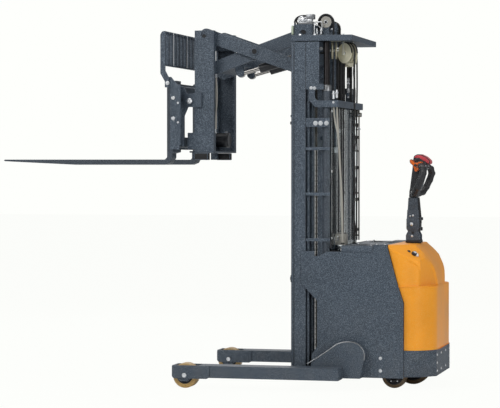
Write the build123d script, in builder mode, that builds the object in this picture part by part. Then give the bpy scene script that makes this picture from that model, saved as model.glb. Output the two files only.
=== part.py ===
from build123d import *
from math import atan2, cos, degrees, hypot, radians, sin
import os

# Walkie reach truck, millimetres.
# +X points forward along the forks, +Y to the truck's left, +Z up.
# The origin lies on the floor, halfway between the fork tips and the rear face.

# Running gaps
slide_gap = 6.0        # between nested mast rails
seat_gap = 0.3         # between faces that rest on each other across a joint
pin_gap = 0.06         # radial, a pin in its bore

# Ground contact
load_axle_x = 129.0
load_wheel_r = 75.0
load_wheel_w = 84.0
load_axle_r = 12.0
leg_y = 535.0
leg_w = 130.0
leg_cheek = 14.0
leg_bottom_z = 66.0
leg_top_z = 138.0
leg_tip_x = 201.0
leg_rear_x = -813.0
wheel_well_rear_x = 40.0

# Chassis
panel_t = 8.0
panel_bottom_z = 70.0
deck_z = 820.0
rear_x = -1346.0
rear_half_w = 265.0
hood_front_top_x = -1069.0
hood_front_mid_x = -1126.0
hood_front_low_x = -1168.0
hood_top_z = 862.0
hood_bottom_z = 234.0
hood_ledge_z = 613.0
hood_half_w = 384.0
scoop_mid_y = 350.0
scoop_rear_y = 232.0

# Mast rails
rail_depth = 89.0
rail_flange_t = 12.0
rail_web_t = 8.0
rail_lap = 21.0        # how far a flange reaches past its web
outer_front_x = -484.0
outer_half_w = 395.0
outer_web_t = 10.0
outer_bottom_z = 50.0
mast_top_z = 2075.0
rail_step_x = rail_flange_t + slide_gap
stage_bottom_z = 86.0
top_plate_t = 34.0
top_plate_z = 2081.0
top_plate_rear_x = -856.0

# Lift cylinders
lift_cyl_x = -693.0
lift_cyl_y = 353.0
lift_cyl_r = 25.0
lift_rod_r = 18.0
lift_cyl_top_z = 1815.0

# Free-lift cylinder and its crosshead
free_cyl_x = -661.0
free_cyl_r = 27.0
free_rod_r = 18.0
free_cyl_top_z = 1445.0
free_sheave_r = 33.7
free_sheave_z = 2176.0
free_lift = 1290.0
hose_arm_y = 216.0     # outer end of the crosshead's arm that carries the hose sheave
hose_top_z = 2203.0
chain_w = 24.0
chain_t = 12.0

# Reach carriage, the rear frame of the scissor
scissor_pivot_x = -531.0
scissor_pivot_z = 2135.0
carriage_depth = 112.0
carriage_half_w = 282.0
carriage_web_t = 12.0
carriage_bottom_z = 1440.0
carriage_top_z = 2188.0
channel_y = 50.0       # width of the scissor frames' channels across the truck

# Scissor arms
arm_length = 655.0
arm_rest_deg = 19.4
arm_depth = 80.0
arm_t = 22.0
arm_gap = 6.0
scissor_pin_r = 20.0
roller_r = 38.0
roller_w = 26.0
arm_tube_r = 26.0

# Front frame of the scissor
front_depth = 120.0
front_bottom_z = 1423.0
front_top_z = 2160.0

# Reach cylinders
reach_cyl_y = 138.0
reach_cyl_r = 27.0
reach_rod_r = 12.0
reach_eye_r = 22.0
reach_eye_w = 26.0
reach_pin_r = 10.0
reach_bracket_s = 474.0    # along the arm from its rear pivot
reach_bracket_drop = 85.0  # below the arm's middle line
reach_rear_dx = -16.0      # from the scissor's rear pivot
reach_rear_dz = -120.0
fold_deg = 53.0            # the inner arm's whole swing

# Fork carriage and forks
fork_length = 1067.0
fork_w = 100.0
fork_t = 32.0
fork_y = 296.0
fork_heel_x = 305.0
fork_top_z = 1371.0
fork_shank_top_z = 1852.0
fork_tip_t = 10.0
carriage_bar_t = 32.0
carriage_bar_h = 76.0
carriage_bar_gap = 0.3
carriage_w = 780.0
upper_bar_top_z = 1836.0
lower_bar_bottom_z = 1432.0
tilt_pin_x = 178.0
tilt_pin_z = 1729.0
tilt_pin_r = 18.0

# Tilt cylinder
tilt_cyl_z = 1492.0
tilt_cyl_r = 44.0
tilt_rod_r = 18.0
tilt_trunnion_x = 100.0
tilt_barrel_rear_x = -1.0
tilt_barrel_front_x = 128.0
tilt_eye_x = 212.0
tilt_eye_r = 20.0

# Drive end
drive_x = -1165.0
drive_wheel_r = 105.0
drive_wheel_w = 75.0
drive_shelf_z = 262.0
caster_x = -1118.0
caster_y = 265.0
caster_r = 75.0
caster_w = 50.0
caster_trail = 25.0        # the wheel's axle lies this far in front of the swivel
caster_top_z = 196.0
tiller_plate_z = 868.0
tiller_pivot_z = 926.0


def side_plane(y):
    """A plane seen from the truck's left: sketch X is +X, sketch Y is +Z."""
    return Plane(origin=(0, y, 0), x_dir=(1, 0, 0), z_dir=(0, -1, 0))


def outline(plane, points):
    """A closed outline of straight lines on a plane."""
    with BuildSketch(plane) as sketch:
        with BuildLine():
            Polyline(*points, close=True)
        make_face()
    return sketch.sketch


def block(x, y, z, mode=Mode.ADD):
    """A box from its low to its high corner, given as pairs."""
    size = (x[1] - x[0], y[1] - y[0], z[1] - z[0])
    with Locations(((x[0] + x[1]) / 2, (y[0] + y[1]) / 2, (z[0] + z[1]) / 2)):
        Box(*size, mode=mode)


def round_bar(axis, centre, radius, length, mode=Mode.ADD):
    """A cylinder along X, Y or Z, centred on a point."""
    turn = {"X": (0, 90, 0), "Y": (90, 0, 0), "Z": (0, 0, 0)}[axis]
    with Locations(centre):
        Cylinder(radius, length, rotation=turn, mode=mode)


def write(name, part):
    """Write one node, moved so that the origin is the middle of the whole truck."""
    node = part.moved(Location((-(fork_tip_x + rear_x) / 2, 0, 0)))
    node.label = name
    export_step(node, f"parts/{name}.step")


def write_pair(name, part):
    """Left and right copies, each a node of its own."""
    write(f"{name}_left", part)
    write(f"{name}_right", part.mirror(Plane.XZ))


os.makedirs("parts", exist_ok=True)

# Places worked out from the sizes above
panel_y = outer_half_w + panel_t
leg_in_y = leg_y - leg_w / 2
leg_out_y = leg_y + leg_w / 2
middle_front_x = outer_front_x - rail_step_x
inner_front_x = middle_front_x - rail_step_x
middle_web_y = outer_half_w - outer_web_t - rail_lap - slide_gap
inner_web_y = middle_web_y - rail_web_t - rail_lap - slide_gap
middle_tip_y = middle_web_y + rail_lap
inner_tip_y = inner_web_y + rail_lap
rest = radians(arm_rest_deg)
arm_run = arm_length * cos(rest)
arm_drop = arm_length * sin(rest)
front_pivot_x = scissor_pivot_x + arm_run
roller_z = scissor_pivot_z - arm_drop
centre_x = scissor_pivot_x + arm_run / 2
centre_z = scissor_pivot_z - arm_drop / 2
channel_in_y = carriage_half_w - channel_y
outer_arm_y = channel_in_y - seat_gap
inner_arm_y = outer_arm_y - arm_t - arm_gap
fork_tip_x = fork_heel_x + fork_length
fork_back_x = fork_heel_x - fork_t
fork_bottom_z = fork_top_z - fork_t
bar_front_x = fork_back_x - carriage_bar_gap
bar_back_x = bar_front_x - carriage_bar_t


def along_inner_arm(s, offset):
    """A point at s from the inner arm's rear pivot, offset upwards from its middle line."""
    return (
        scissor_pivot_x + s * cos(rest) + offset * sin(rest),
        scissor_pivot_z - s * sin(rest) + offset * cos(rest),
    )


reach_rear_x = scissor_pivot_x + reach_rear_dx
reach_rear_z = scissor_pivot_z + reach_rear_dz
reach_pin_x, reach_pin_z = along_inner_arm(reach_bracket_s, -reach_bracket_drop)
reach_line = (reach_pin_x - reach_rear_x, reach_pin_z - reach_rear_z)
reach_len = hypot(*reach_line)
reach_tilt = atan2(reach_line[1], reach_line[0])
pin_reach = hypot(reach_bracket_s, reach_bracket_drop)
pin_low = rest + radians(fold_deg) + atan2(reach_bracket_drop, reach_bracket_s)
reach_closed = hypot(pin_reach * cos(pin_low) - reach_rear_dx, -pin_reach * sin(pin_low) - reach_rear_dz)
reach_stroke = reach_len - reach_closed


# Straddle legs: a box beam with a wheel fork at its tip and a knee at its root
with BuildPart() as leg:
    beam = [
        (leg_rear_x, leg_bottom_z),
        (0, leg_bottom_z),
        (30, leg_bottom_z + 2),
        (load_axle_x - 44, leg_bottom_z - 4),
        (load_axle_x - 22, 42),
        (load_axle_x + 22, 42),
        (load_axle_x + 44, leg_bottom_z - 4),
        (leg_tip_x, leg_bottom_z + 6),
        (leg_tip_x, leg_top_z),
        (leg_rear_x, leg_top_z),
    ]
    extrude(outline(side_plane(leg_out_y), beam), amount=leg_w)
    well = (leg_in_y + leg_cheek, leg_out_y - leg_cheek)
    block((wheel_well_rear_x, leg_tip_x + 1), well, (0, leg_top_z + 1), Mode.SUBTRACT)
    block((leg_tip_x - 14, leg_tip_x), well, (leg_top_z - 6, leg_top_z))
    knee = [
        (-623, leg_top_z - 2),
        (-623, 157),
        (-778, 272),
        (-806, 285),
        (-876, 285),
        (-925, 262),
        (-951, 224),
        (-919, panel_bottom_z),
        (-700, panel_bottom_z),
        (-700, leg_top_z - 2),
    ]
    extrude(outline(side_plane(leg_in_y + 3), knee), amount=leg_in_y + 3 - panel_y)
    round_bar("Y", (load_axle_x, leg_y, load_wheel_r), load_axle_r, leg_w + 8)
write_pair("leg", leg.part)

# Load wheels: a polyurethane tread on a steel hub
with BuildPart() as load_wheel:
    with BuildSketch(Plane.XY):
        with BuildLine():
            Polyline(
                (load_axle_r + pin_gap, -load_wheel_w / 2),
                (load_wheel_r - 6, -load_wheel_w / 2),
                (load_wheel_r, -load_wheel_w / 2 + 6),
                (load_wheel_r, load_wheel_w / 2 - 6),
                (load_wheel_r - 6, load_wheel_w / 2),
                (load_axle_r + pin_gap, load_wheel_w / 2),
                close=True,
            )
        make_face()
    revolve(axis=Axis.Y, revolution_arc=360)
write_pair("load_wheel", load_wheel.part.moved(Location((load_axle_x, leg_y, load_wheel_r))))

# Side plates of the chassis
panel_edge = [
    (outer_front_x - 62, deck_z + 2),
    (outer_front_x - 144, deck_z + 2),
    (outer_front_x - 144, deck_z - 27),
    (outer_front_x - 177, deck_z - 27),
    (outer_front_x - 217, deck_z),
    (-985, deck_z),
    (-985, hood_top_z - 4),
    (hood_front_top_x, hood_top_z - 4),
    (hood_front_mid_x, 648),
    (hood_front_low_x, 518),
    (hood_front_low_x, panel_bottom_z),
    (-611, panel_bottom_z),
    (-611, 200),
    (-645, 254),
    (-645, 524),
    (outer_front_x - 62, 630),
]
with BuildPart() as side_plate:
    extrude(outline(side_plane(panel_y), panel_edge), amount=panel_t)
write_pair("side_plate", side_plate.part)

# Chassis frame: floor pan, front bulkhead, battery wall and the shelf over the drive wheel
frame_y = panel_y - panel_t
bulkhead_x = -742.0
bay_x = -975.0
frame_t = 10.0
shelf_hole_r = 94.0
with BuildPart() as chassis_frame:
    block((bay_x, outer_front_x - 131), (-frame_y, frame_y), (panel_bottom_z, panel_bottom_z + frame_t))
    block((bulkhead_x - frame_t, bulkhead_x), (-frame_y, frame_y), (panel_bottom_z, deck_z - 4))
    block((bay_x, bay_x + frame_t), (-frame_y, frame_y), (panel_bottom_z, deck_z - 4))
    shelf_y = 322
    shelf = [
        (bay_x, -shelf_y),
        (bay_x, shelf_y),
        (drive_x - 85, shelf_y),
        (drive_x - 135, 280),
        (drive_x - 135, -280),
        (drive_x - 85, -shelf_y),
    ]
    extrude(outline(Plane.XY.offset(drive_shelf_z), shelf), amount=frame_t)
    round_bar("Z", (drive_x, 0, drive_shelf_z), shelf_hole_r, 60, Mode.SUBTRACT)
    for side in (-1, 1):
        block(
            (caster_x - 60, bay_x),
            (side * caster_y - 50, side * caster_y + 50),
            (caster_top_z, drive_shelf_z),
        )
        rib_y = sorted((side * (shelf_y - 1), side * frame_y))
        block((hood_front_low_x, bay_x), rib_y, (drive_shelf_z, drive_shelf_z + frame_t))
write("chassis_frame", chassis_frame.part)

# Battery, one plain block inside the chassis
with BuildPart() as battery:
    block((bay_x + frame_t, bulkhead_x - frame_t), (-330, 330), (panel_bottom_z + frame_t, 700))
write("battery", battery.part)

# Battery lid with rounded sides
lid_front_x = -792.0
lid_rear_x = -983.0
with BuildPart() as battery_lid:
    block((lid_rear_x, lid_front_x), (-panel_y - 4, panel_y + 4), (deck_z + seat_gap, deck_z + 36))
    fillet(battery_lid.edges().filter_by(Axis.X).group_by(Axis.Z)[-1], 16)
write("battery_lid", battery_lid.part)

# Top deck behind the lid
with BuildPart() as rear_deck:
    block((hood_front_top_x + 2, lid_rear_x - 3), (-frame_y + seat_gap, frame_y - seat_gap), (deck_z, hood_top_z + 2))
write("rear_deck", rear_deck.part)

# Hood over the drive unit: a moulded shell with a rounded rear, open below
hood_wall = 7.0


def hood_form(inset):
    """The hood's outer form, or the hollow inside it, set in by its wall."""
    low_z = hood_bottom_z - 3 * inset
    side = [
        (hood_front_top_x, hood_top_z - inset),
        (hood_front_mid_x, 648),
        (hood_front_low_x, 518),
        (hood_front_low_x, low_z),
        (rear_x + inset, low_z),
        (rear_x + inset, hood_ledge_z - inset),
        (rear_x + 14 + inset, hood_ledge_z - inset),
        (rear_x + 14 + inset, 700),
        (rear_x + 40 + inset, 765 - inset / 2),
        (rear_x + 96 + inset / 2, 822 - inset),
        (rear_x + 166, hood_top_z - inset),
    ]
    plan = [
        (hood_front_top_x + 40, hood_half_w - inset),
        (hood_front_low_x, hood_half_w - inset),
        (rear_x + 76, 350 - inset),
        (rear_x - 1, rear_half_w - inset),
        (rear_x - 1, 0),
        (hood_front_top_x + 40, 0),
    ]
    with BuildPart() as form:
        extrude(outline(side_plane(hood_half_w), side), amount=hood_half_w)
        extrude(outline(Plane.XY, plan), amount=1000, mode=Mode.INTERSECT)
        tilt = Plane(
            origin=(hood_front_top_x, hood_half_w - inset - 12, 852 - inset),
            x_dir=(0.9, 0, 0.44),
            z_dir=(-0.42, 0.30, 0.86),
        )
        split(bisect_by=tilt, keep=Keep.BOTTOM)
        scoop_side = [
            (hood_front_low_x + 8, hood_ledge_z - inset),
            (rear_x - 1, hood_ledge_z - inset),
            (rear_x - 1, 690),
            (rear_x + 30, 752),
            (rear_x + 62, 780 - inset),
            (rear_x + 98, 765 - inset),
            (rear_x + 152, 794 - inset),
            (rear_x + 206, 812 - inset),
            (rear_x + 216, 700),
        ]
        scoop_plan = [
            (hood_front_low_x + 60, hood_half_w + 9 - inset),
            (hood_front_low_x, hood_half_w - 8 - inset),
            (rear_x + 98, scoop_mid_y - inset),
            (rear_x + 16, scoop_rear_y - inset),
            (rear_x - 1, scoop_rear_y - 8 - inset),
            (rear_x - 1, hood_half_w + 9),
            (hood_front_low_x + 60, hood_half_w + 9),
        ]
        with BuildPart(mode=Mode.PRIVATE) as scoop:
            extrude(outline(side_plane(hood_half_w + 9), scoop_side), amount=hood_half_w)
            extrude(outline(Plane.XY, scoop_plan), amount=1000, mode=Mode.INTERSECT)
        add(scoop.part, mode=Mode.SUBTRACT)
        mirror(about=Plane.XZ)
    return form.part


with BuildPart() as hood:
    add(hood_form(0))
    add(hood_form(hood_wall), mode=Mode.SUBTRACT)
    round_bar("Z", (drive_x, 0, hood_top_z), 36, 60, Mode.SUBTRACT)
write("hood", hood.part)

# Rear skirt below the hood
with BuildPart() as rear_skirt:
    skirt_z = (panel_bottom_z + 6, hood_bottom_z)
    for inset, mode in ((0, Mode.ADD), (frame_t, Mode.SUBTRACT)):
        skirt_plan = [
            (hood_front_low_x + inset, -hood_half_w - 8 + inset),
            (hood_front_low_x + inset, hood_half_w + 8 - inset),
            (rear_x + 76, 350 - inset),
            (rear_x + inset, rear_half_w - inset),
            (rear_x + inset, -rear_half_w + inset),
            (rear_x + 76, -350 + inset),
        ]
        skirt = outline(Plane.XY.offset(skirt_z[0] - inset), skirt_plan)
        extrude(skirt, amount=skirt_z[1] - skirt_z[0] + 2 * inset, mode=mode)
write("rear_skirt", rear_skirt.part)

# Outer mast: two channel rails tied behind the moving stages
outer_web_in_y = outer_half_w - outer_web_t
outer_tip_y = outer_web_in_y - rail_lap
outer_rear_x = outer_front_x - rail_depth
with BuildPart() as outer_mast:
    channel = [
        (outer_front_x, outer_tip_y),
        (outer_front_x, outer_half_w),
        (outer_rear_x, outer_half_w),
        (outer_rear_x, outer_tip_y),
        (outer_rear_x + rail_flange_t, outer_tip_y),
        (outer_rear_x + rail_flange_t, outer_web_in_y),
        (outer_front_x - rail_flange_t, outer_web_in_y),
        (outer_front_x - rail_flange_t, outer_tip_y),
    ]
    rail = extrude(outline(Plane.XY.offset(outer_bottom_z), channel), amount=mast_top_z - outer_bottom_z)
    block((outer_rear_x - 82, outer_rear_x + 2), (outer_web_in_y, outer_half_w), (1822, mast_top_z))
    hook = [
        (outer_rear_x + 2, 1822),
        (outer_rear_x - 110, 1822),
        (outer_rear_x - 110, 1790),
        (outer_rear_x - 55, 1790),
        (outer_rear_x - 55, 1740),
        (outer_rear_x - 70, 1724),
        (outer_rear_x - 199, 1724),
        (outer_rear_x - 199, 1684),
        (outer_rear_x - 60, 1684),
        (outer_rear_x - 18, 1726),
        (outer_rear_x - 18, 1790),
        (outer_rear_x + 2, 1790),
    ]
    extrude(outline(side_plane(outer_half_w), hook), amount=10)
    block((outer_rear_x - 144, outer_rear_x + 2), (outer_web_in_y, outer_half_w), (1565, 1619))
    for strap_z in (1436, 1164, 890):
        block((outer_rear_x - 150, outer_rear_x + 2), (outer_half_w - 6, outer_half_w), (strap_z - 9, strap_z + 9))
    mirror(about=Plane.XZ)
    block((outer_rear_x - 199, outer_rear_x - 181), (-outer_half_w, outer_half_w), (1684, 1724))
    block((outer_rear_x, outer_front_x), (-outer_half_w, outer_half_w), (outer_bottom_z, outer_bottom_z + 14))
write("outer_mast", outer_mast.part)

# Lift cylinders, standing on the chassis behind the rails
lift_foot_z = panel_bottom_z + frame_t + seat_gap
with BuildPart() as lift_barrels:
    with BuildSketch(Plane.XY.offset(lift_foot_z)):
        with Locations((lift_cyl_x, lift_cyl_y), (lift_cyl_x, -lift_cyl_y)):
            Circle(lift_cyl_r)
    extrude(amount=lift_cyl_top_z - lift_foot_z)
    with BuildSketch(Plane.XY.offset(lift_foot_z + 60)):
        with Locations((lift_cyl_x, lift_cyl_y), (lift_cyl_x, -lift_cyl_y)):
            Circle(lift_rod_r + pin_gap)
    extrude(amount=lift_cyl_top_z, mode=Mode.SUBTRACT)
write("lift_barrels", lift_barrels.part)

# Clear guard behind the mast
guard_x = outer_rear_x - 150
with BuildPart() as guard:
    block((guard_x - 6, guard_x - seat_gap), (-outer_half_w, outer_half_w), (deck_z + 5, 1680))
write("guard", guard.part)

# Middle mast: nested rails, a foot tie and the top plate over the cylinders
middle_rear_x = middle_front_x - rail_depth
with BuildPart() as middle_mast:
    i_beam = [
        (middle_front_x, middle_tip_y),
        (middle_front_x, middle_web_y - rail_web_t - rail_lap),
        (middle_front_x - rail_flange_t, middle_web_y - rail_web_t - rail_lap),
        (middle_front_x - rail_flange_t, middle_web_y - rail_web_t),
        (middle_rear_x + rail_flange_t, middle_web_y - rail_web_t),
        (middle_rear_x + rail_flange_t, middle_web_y - rail_web_t - rail_lap),
        (middle_rear_x, middle_web_y - rail_web_t - rail_lap),
        (middle_rear_x, middle_tip_y),
        (middle_rear_x + rail_flange_t, middle_tip_y),
        (middle_rear_x + rail_flange_t, middle_web_y),
        (middle_front_x - rail_flange_t, middle_web_y),
        (middle_front_x - rail_flange_t, middle_tip_y),
    ]
    extrude(outline(Plane.XY.offset(stage_bottom_z), i_beam), amount=top_plate_z - stage_bottom_z)
    arm_in_y = inner_tip_y + slide_gap
    plate_step_x = lift_cyl_x + 57
    plate = [
        (outer_front_x, outer_half_w + 1),
        (top_plate_rear_x, outer_half_w + 1),
        (top_plate_rear_x, 0),
        (top_plate_rear_x + 95, 0),
        (top_plate_rear_x + 95, 305),
        (plate_step_x, 305),
        (plate_step_x, arm_in_y),
        (outer_front_x, arm_in_y),
    ]
    extrude(outline(Plane.XY.offset(top_plate_z), plate), amount=top_plate_t)
    mirror(about=Plane.XZ)
    block((middle_rear_x - 16, middle_rear_x), (-middle_tip_y, middle_tip_y), (stage_bottom_z, stage_bottom_z + 30))
write("middle_mast", middle_mast.part)

# Lift rods, carried by the top plate
with BuildPart() as lift_rods:
    with BuildSketch(Plane.XY.offset(lift_foot_z + 70)):
        with Locations((lift_cyl_x, lift_cyl_y), (lift_cyl_x, -lift_cyl_y)):
            Circle(lift_rod_r)
    extrude(amount=top_plate_z - lift_foot_z - 70)
write("lift_rods", lift_rods.part)

# Inner mast: nested rails, a foot tie and a head tie in front of the free-lift cylinder
inner_rear_x = inner_front_x - rail_depth
inner_in_y = inner_web_y - rail_web_t - rail_lap
inner_foot_z = stage_bottom_z + 30 + slide_gap
with BuildPart() as inner_mast:
    i_beam = [
        (inner_front_x, inner_tip_y),
        (inner_front_x, inner_in_y),
        (inner_front_x - rail_flange_t, inner_in_y),
        (inner_front_x - rail_flange_t, inner_web_y - rail_web_t),
        (inner_rear_x + rail_flange_t, inner_web_y - rail_web_t),
        (inner_rear_x + rail_flange_t, inner_in_y),
        (inner_rear_x, inner_in_y),
        (inner_rear_x, inner_tip_y),
        (inner_rear_x + rail_flange_t, inner_tip_y),
        (inner_rear_x + rail_flange_t, inner_web_y),
        (inner_front_x - rail_flange_t, inner_web_y),
        (inner_front_x - rail_flange_t, inner_tip_y),
    ]
    extrude(outline(Plane.XY.offset(inner_foot_z), i_beam), amount=mast_top_z - inner_foot_z)
    mirror(about=Plane.XZ)
    tie_x = (inner_rear_x + 3, inner_rear_x + 15)
    block(tie_x, (-inner_in_y - 1, inner_in_y + 1), (1950, mast_top_z))
    block((free_cyl_x - 45, inner_rear_x + rail_flange_t), (-inner_in_y - 1, inner_in_y + 1), (inner_foot_z, inner_foot_z + 40))
write("inner_mast", inner_mast.part)

# Free-lift cylinder on the inner mast
free_foot_z = inner_foot_z + 40 + seat_gap
free_chain_dx = free_sheave_r + seat_gap + chain_t / 2
anchor_x = free_cyl_x + free_chain_dx
rear_strand_x = free_cyl_x - free_chain_dx
with BuildPart() as free_lift_barrel:
    round_bar("Z", (free_cyl_x, 0, (free_foot_z + free_cyl_top_z) / 2), free_cyl_r, free_cyl_top_z - free_foot_z)
    bore_z = (free_foot_z + 60, free_cyl_top_z + 1)
    round_bar("Z", (free_cyl_x, 0, sum(bore_z) / 2), free_rod_r + pin_gap, bore_z[1] - bore_z[0], Mode.SUBTRACT)
write("free_lift_barrel", free_lift_barrel.part)

# Crosshead: rod, yoke and chain sheave
rod_z = (free_foot_z + 75 + free_lift / 2, free_sheave_z - 70)
with BuildPart() as crosshead:
    round_bar("Z", (free_cyl_x, 0, sum(rod_z) / 2), free_rod_r, rod_z[1] - rod_z[0])
    block((free_cyl_x - 30, free_cyl_x + 30), (-44, 44), (free_sheave_z - 74, free_sheave_z - 58))
    for ear_y in (-44, 34):
        block((free_cyl_x - 30, free_cyl_x + 30), (ear_y, ear_y + 10), (free_sheave_z - 60, free_sheave_z + 30))
    round_bar("Y", (free_cyl_x, 0, free_sheave_z), 12, 88)
    round_bar("Y", (free_cyl_x, 0, free_sheave_z), free_sheave_r, 44)
    block((free_cyl_x - 20, free_cyl_x + 20), (42, hose_arm_y + 6), (free_sheave_z - 50, free_sheave_z - 34))
    for ear_y in (hose_arm_y - 40, hose_arm_y):
        block((free_cyl_x - 20, free_cyl_x + 20), (ear_y, ear_y + 6), (free_sheave_z - 36, hose_top_z + 16))
    round_bar("Y", (free_cyl_x, hose_arm_y - 17, hose_top_z), 8, 50)
    round_bar("Y", (free_cyl_x, hose_arm_y - 17, hose_top_z), 46, 26)
write("crosshead", crosshead.part)

# Reach carriage: two channels open to the middle, tied behind, with rollers outside
carriage_front_x = scissor_pivot_x + carriage_depth / 2
carriage_rear_x = scissor_pivot_x - carriage_depth / 2
carriage_in_y = carriage_half_w - channel_y
with BuildPart() as reach_carriage:
    channel = [
        (carriage_front_x, carriage_in_y),
        (carriage_front_x, carriage_half_w),
        (carriage_rear_x, carriage_half_w),
        (carriage_rear_x, carriage_in_y),
        (carriage_rear_x + 12, carriage_in_y),
        (carriage_rear_x + 12, carriage_half_w - carriage_web_t),
        (carriage_front_x - 12, carriage_half_w - carriage_web_t),
        (carriage_front_x - 12, carriage_in_y),
    ]
    extrude(outline(Plane.XY.offset(carriage_bottom_z), channel), amount=carriage_top_z - carriage_bottom_z)
    block(
        (carriage_rear_x, carriage_front_x),
        (carriage_in_y, carriage_half_w),
        (carriage_top_z - 110, carriage_top_z),
    )
    round_bar("Y", (scissor_pivot_x, carriage_half_w - 30, scissor_pivot_z), scissor_pin_r + pin_gap, 80, Mode.SUBTRACT)
    wheel_x = inner_front_x - rail_depth / 2
    for wheel_z in (carriage_bottom_z + 60, carriage_bottom_z + 420):
        round_bar("Y", (wheel_x, carriage_half_w + 4, wheel_z), 10, 12)
        round_bar("Y", (wheel_x, carriage_half_w + 17, wheel_z), 27, 18)
    mirror(about=Plane.XZ)
    for tie_z in ((carriage_bottom_z, carriage_bottom_z + 90), (carriage_top_z - 230, carriage_top_z)):
        block((carriage_rear_x, carriage_rear_x + 10), (-carriage_in_y, carriage_in_y), tie_z)
    block((anchor_x - 7, carriage_rear_x), (-30, 30), (carriage_bottom_z + 50, carriage_bottom_z + 74))
    for ear_y in (reach_cyl_y - 24, reach_cyl_y + 14, -reach_cyl_y - 24, -reach_cyl_y + 14):
        lug = [
            (carriage_rear_x + 6, scissor_pivot_z + reach_rear_dz - 25),
            (carriage_rear_x + 6, scissor_pivot_z + reach_rear_dz + 70),
            (scissor_pivot_x + reach_rear_dx + 18, scissor_pivot_z + reach_rear_dz + 16),
            (scissor_pivot_x + reach_rear_dx + 18, scissor_pivot_z + reach_rear_dz - 16),
        ]
        extrude(outline(side_plane(ear_y + 10), lug), amount=10)
    for side in (-1, 1):
        round_bar("Y", (reach_rear_x, side * reach_cyl_y, reach_rear_z), reach_pin_r, 48)
write("reach_carriage", reach_carriage.part)

# Inner arms: hinged at the reach carriage's head, with rollers in the front frame
def arm_plate(outer_y, slope):
    """One straight arm with rounded ends; slope is its rise towards the front, in degrees."""
    with BuildSketch(side_plane(outer_y)) as sketch:
        with Locations((centre_x, centre_z)):
            SlotCenterToCenter(arm_length, arm_depth, rotation=slope)
    return extrude(sketch.sketch, amount=arm_t, mode=Mode.PRIVATE)


pin_end_y = carriage_half_w - 6
roller_mid_y = carriage_half_w - carriage_web_t - 4 - roller_w / 2
with BuildPart() as inner_arms:
    add(arm_plate(inner_arm_y, -arm_rest_deg))
    pin_y = (inner_arm_y - arm_t, pin_end_y)
    round_bar("Y", (scissor_pivot_x, sum(pin_y) / 2, scissor_pivot_z), scissor_pin_r, pin_y[1] - pin_y[0])
    stub_y = (inner_arm_y - arm_t, roller_mid_y)
    round_bar("Y", (front_pivot_x, sum(stub_y) / 2, roller_z), 14, stub_y[1] - stub_y[0])
    round_bar("Y", (front_pivot_x, roller_mid_y, roller_z), roller_r, roller_w)
    clevis_reach = ((450, -30), (498, -30), (498, -85), (486, -103), (462, -103), (450, -85))
    clevis = [along_inner_arm(s, offset) for s, offset in clevis_reach]
    for ear_y in (reach_cyl_y + reach_eye_w / 2 + 11, reach_cyl_y - reach_eye_w / 2 - 1):
        extrude(outline(side_plane(ear_y), clevis), amount=10)
    for boss_y in (reach_cyl_y - reach_eye_w / 2 - 13, reach_cyl_y + reach_eye_w / 2 + 13):
        round_bar("Y", (reach_pin_x, boss_y, reach_pin_z), reach_pin_r, 6)
    mirror(about=Plane.XZ)
    shelf = [along_inner_arm(s, o) for s, o in ((455, -28), (455, -40), (590, -40), (590, -28))]
    extrude(outline(side_plane(inner_arm_y - arm_t), shelf), amount=2 * (inner_arm_y - arm_t))
    round_bar("Y", (centre_x, 0, centre_z), scissor_pin_r, 2 * (outer_arm_y + 4))
write("inner_arms", inner_arms.part)

# Outer arms: hinged at the front frame's head, with rollers in the reach carriage
with BuildPart() as outer_arms:
    add(arm_plate(outer_arm_y, arm_rest_deg))
    round_bar("Y", (centre_x, outer_arm_y, centre_z), scissor_pin_r + pin_gap, 3 * arm_t, Mode.SUBTRACT)
    pin_y = (outer_arm_y - arm_t, pin_end_y)
    round_bar("Y", (front_pivot_x, sum(pin_y) / 2, scissor_pivot_z), scissor_pin_r, pin_y[1] - pin_y[0])
    round_bar("Y", (scissor_pivot_x, (outer_arm_y + roller_mid_y) / 2, roller_z), 14, roller_mid_y - outer_arm_y)
    round_bar("Y", (scissor_pivot_x, roller_mid_y, roller_z), roller_r, roller_w)
    mirror(about=Plane.XZ)
    round_bar("Y", (scissor_pivot_x, 0, roller_z), 22, 2 * (outer_arm_y - arm_t))
    round_bar("Y", (front_pivot_x, 0, scissor_pivot_z), arm_tube_r, 2 * (outer_arm_y - arm_t))
write("outer_arms", outer_arms.part)

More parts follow.
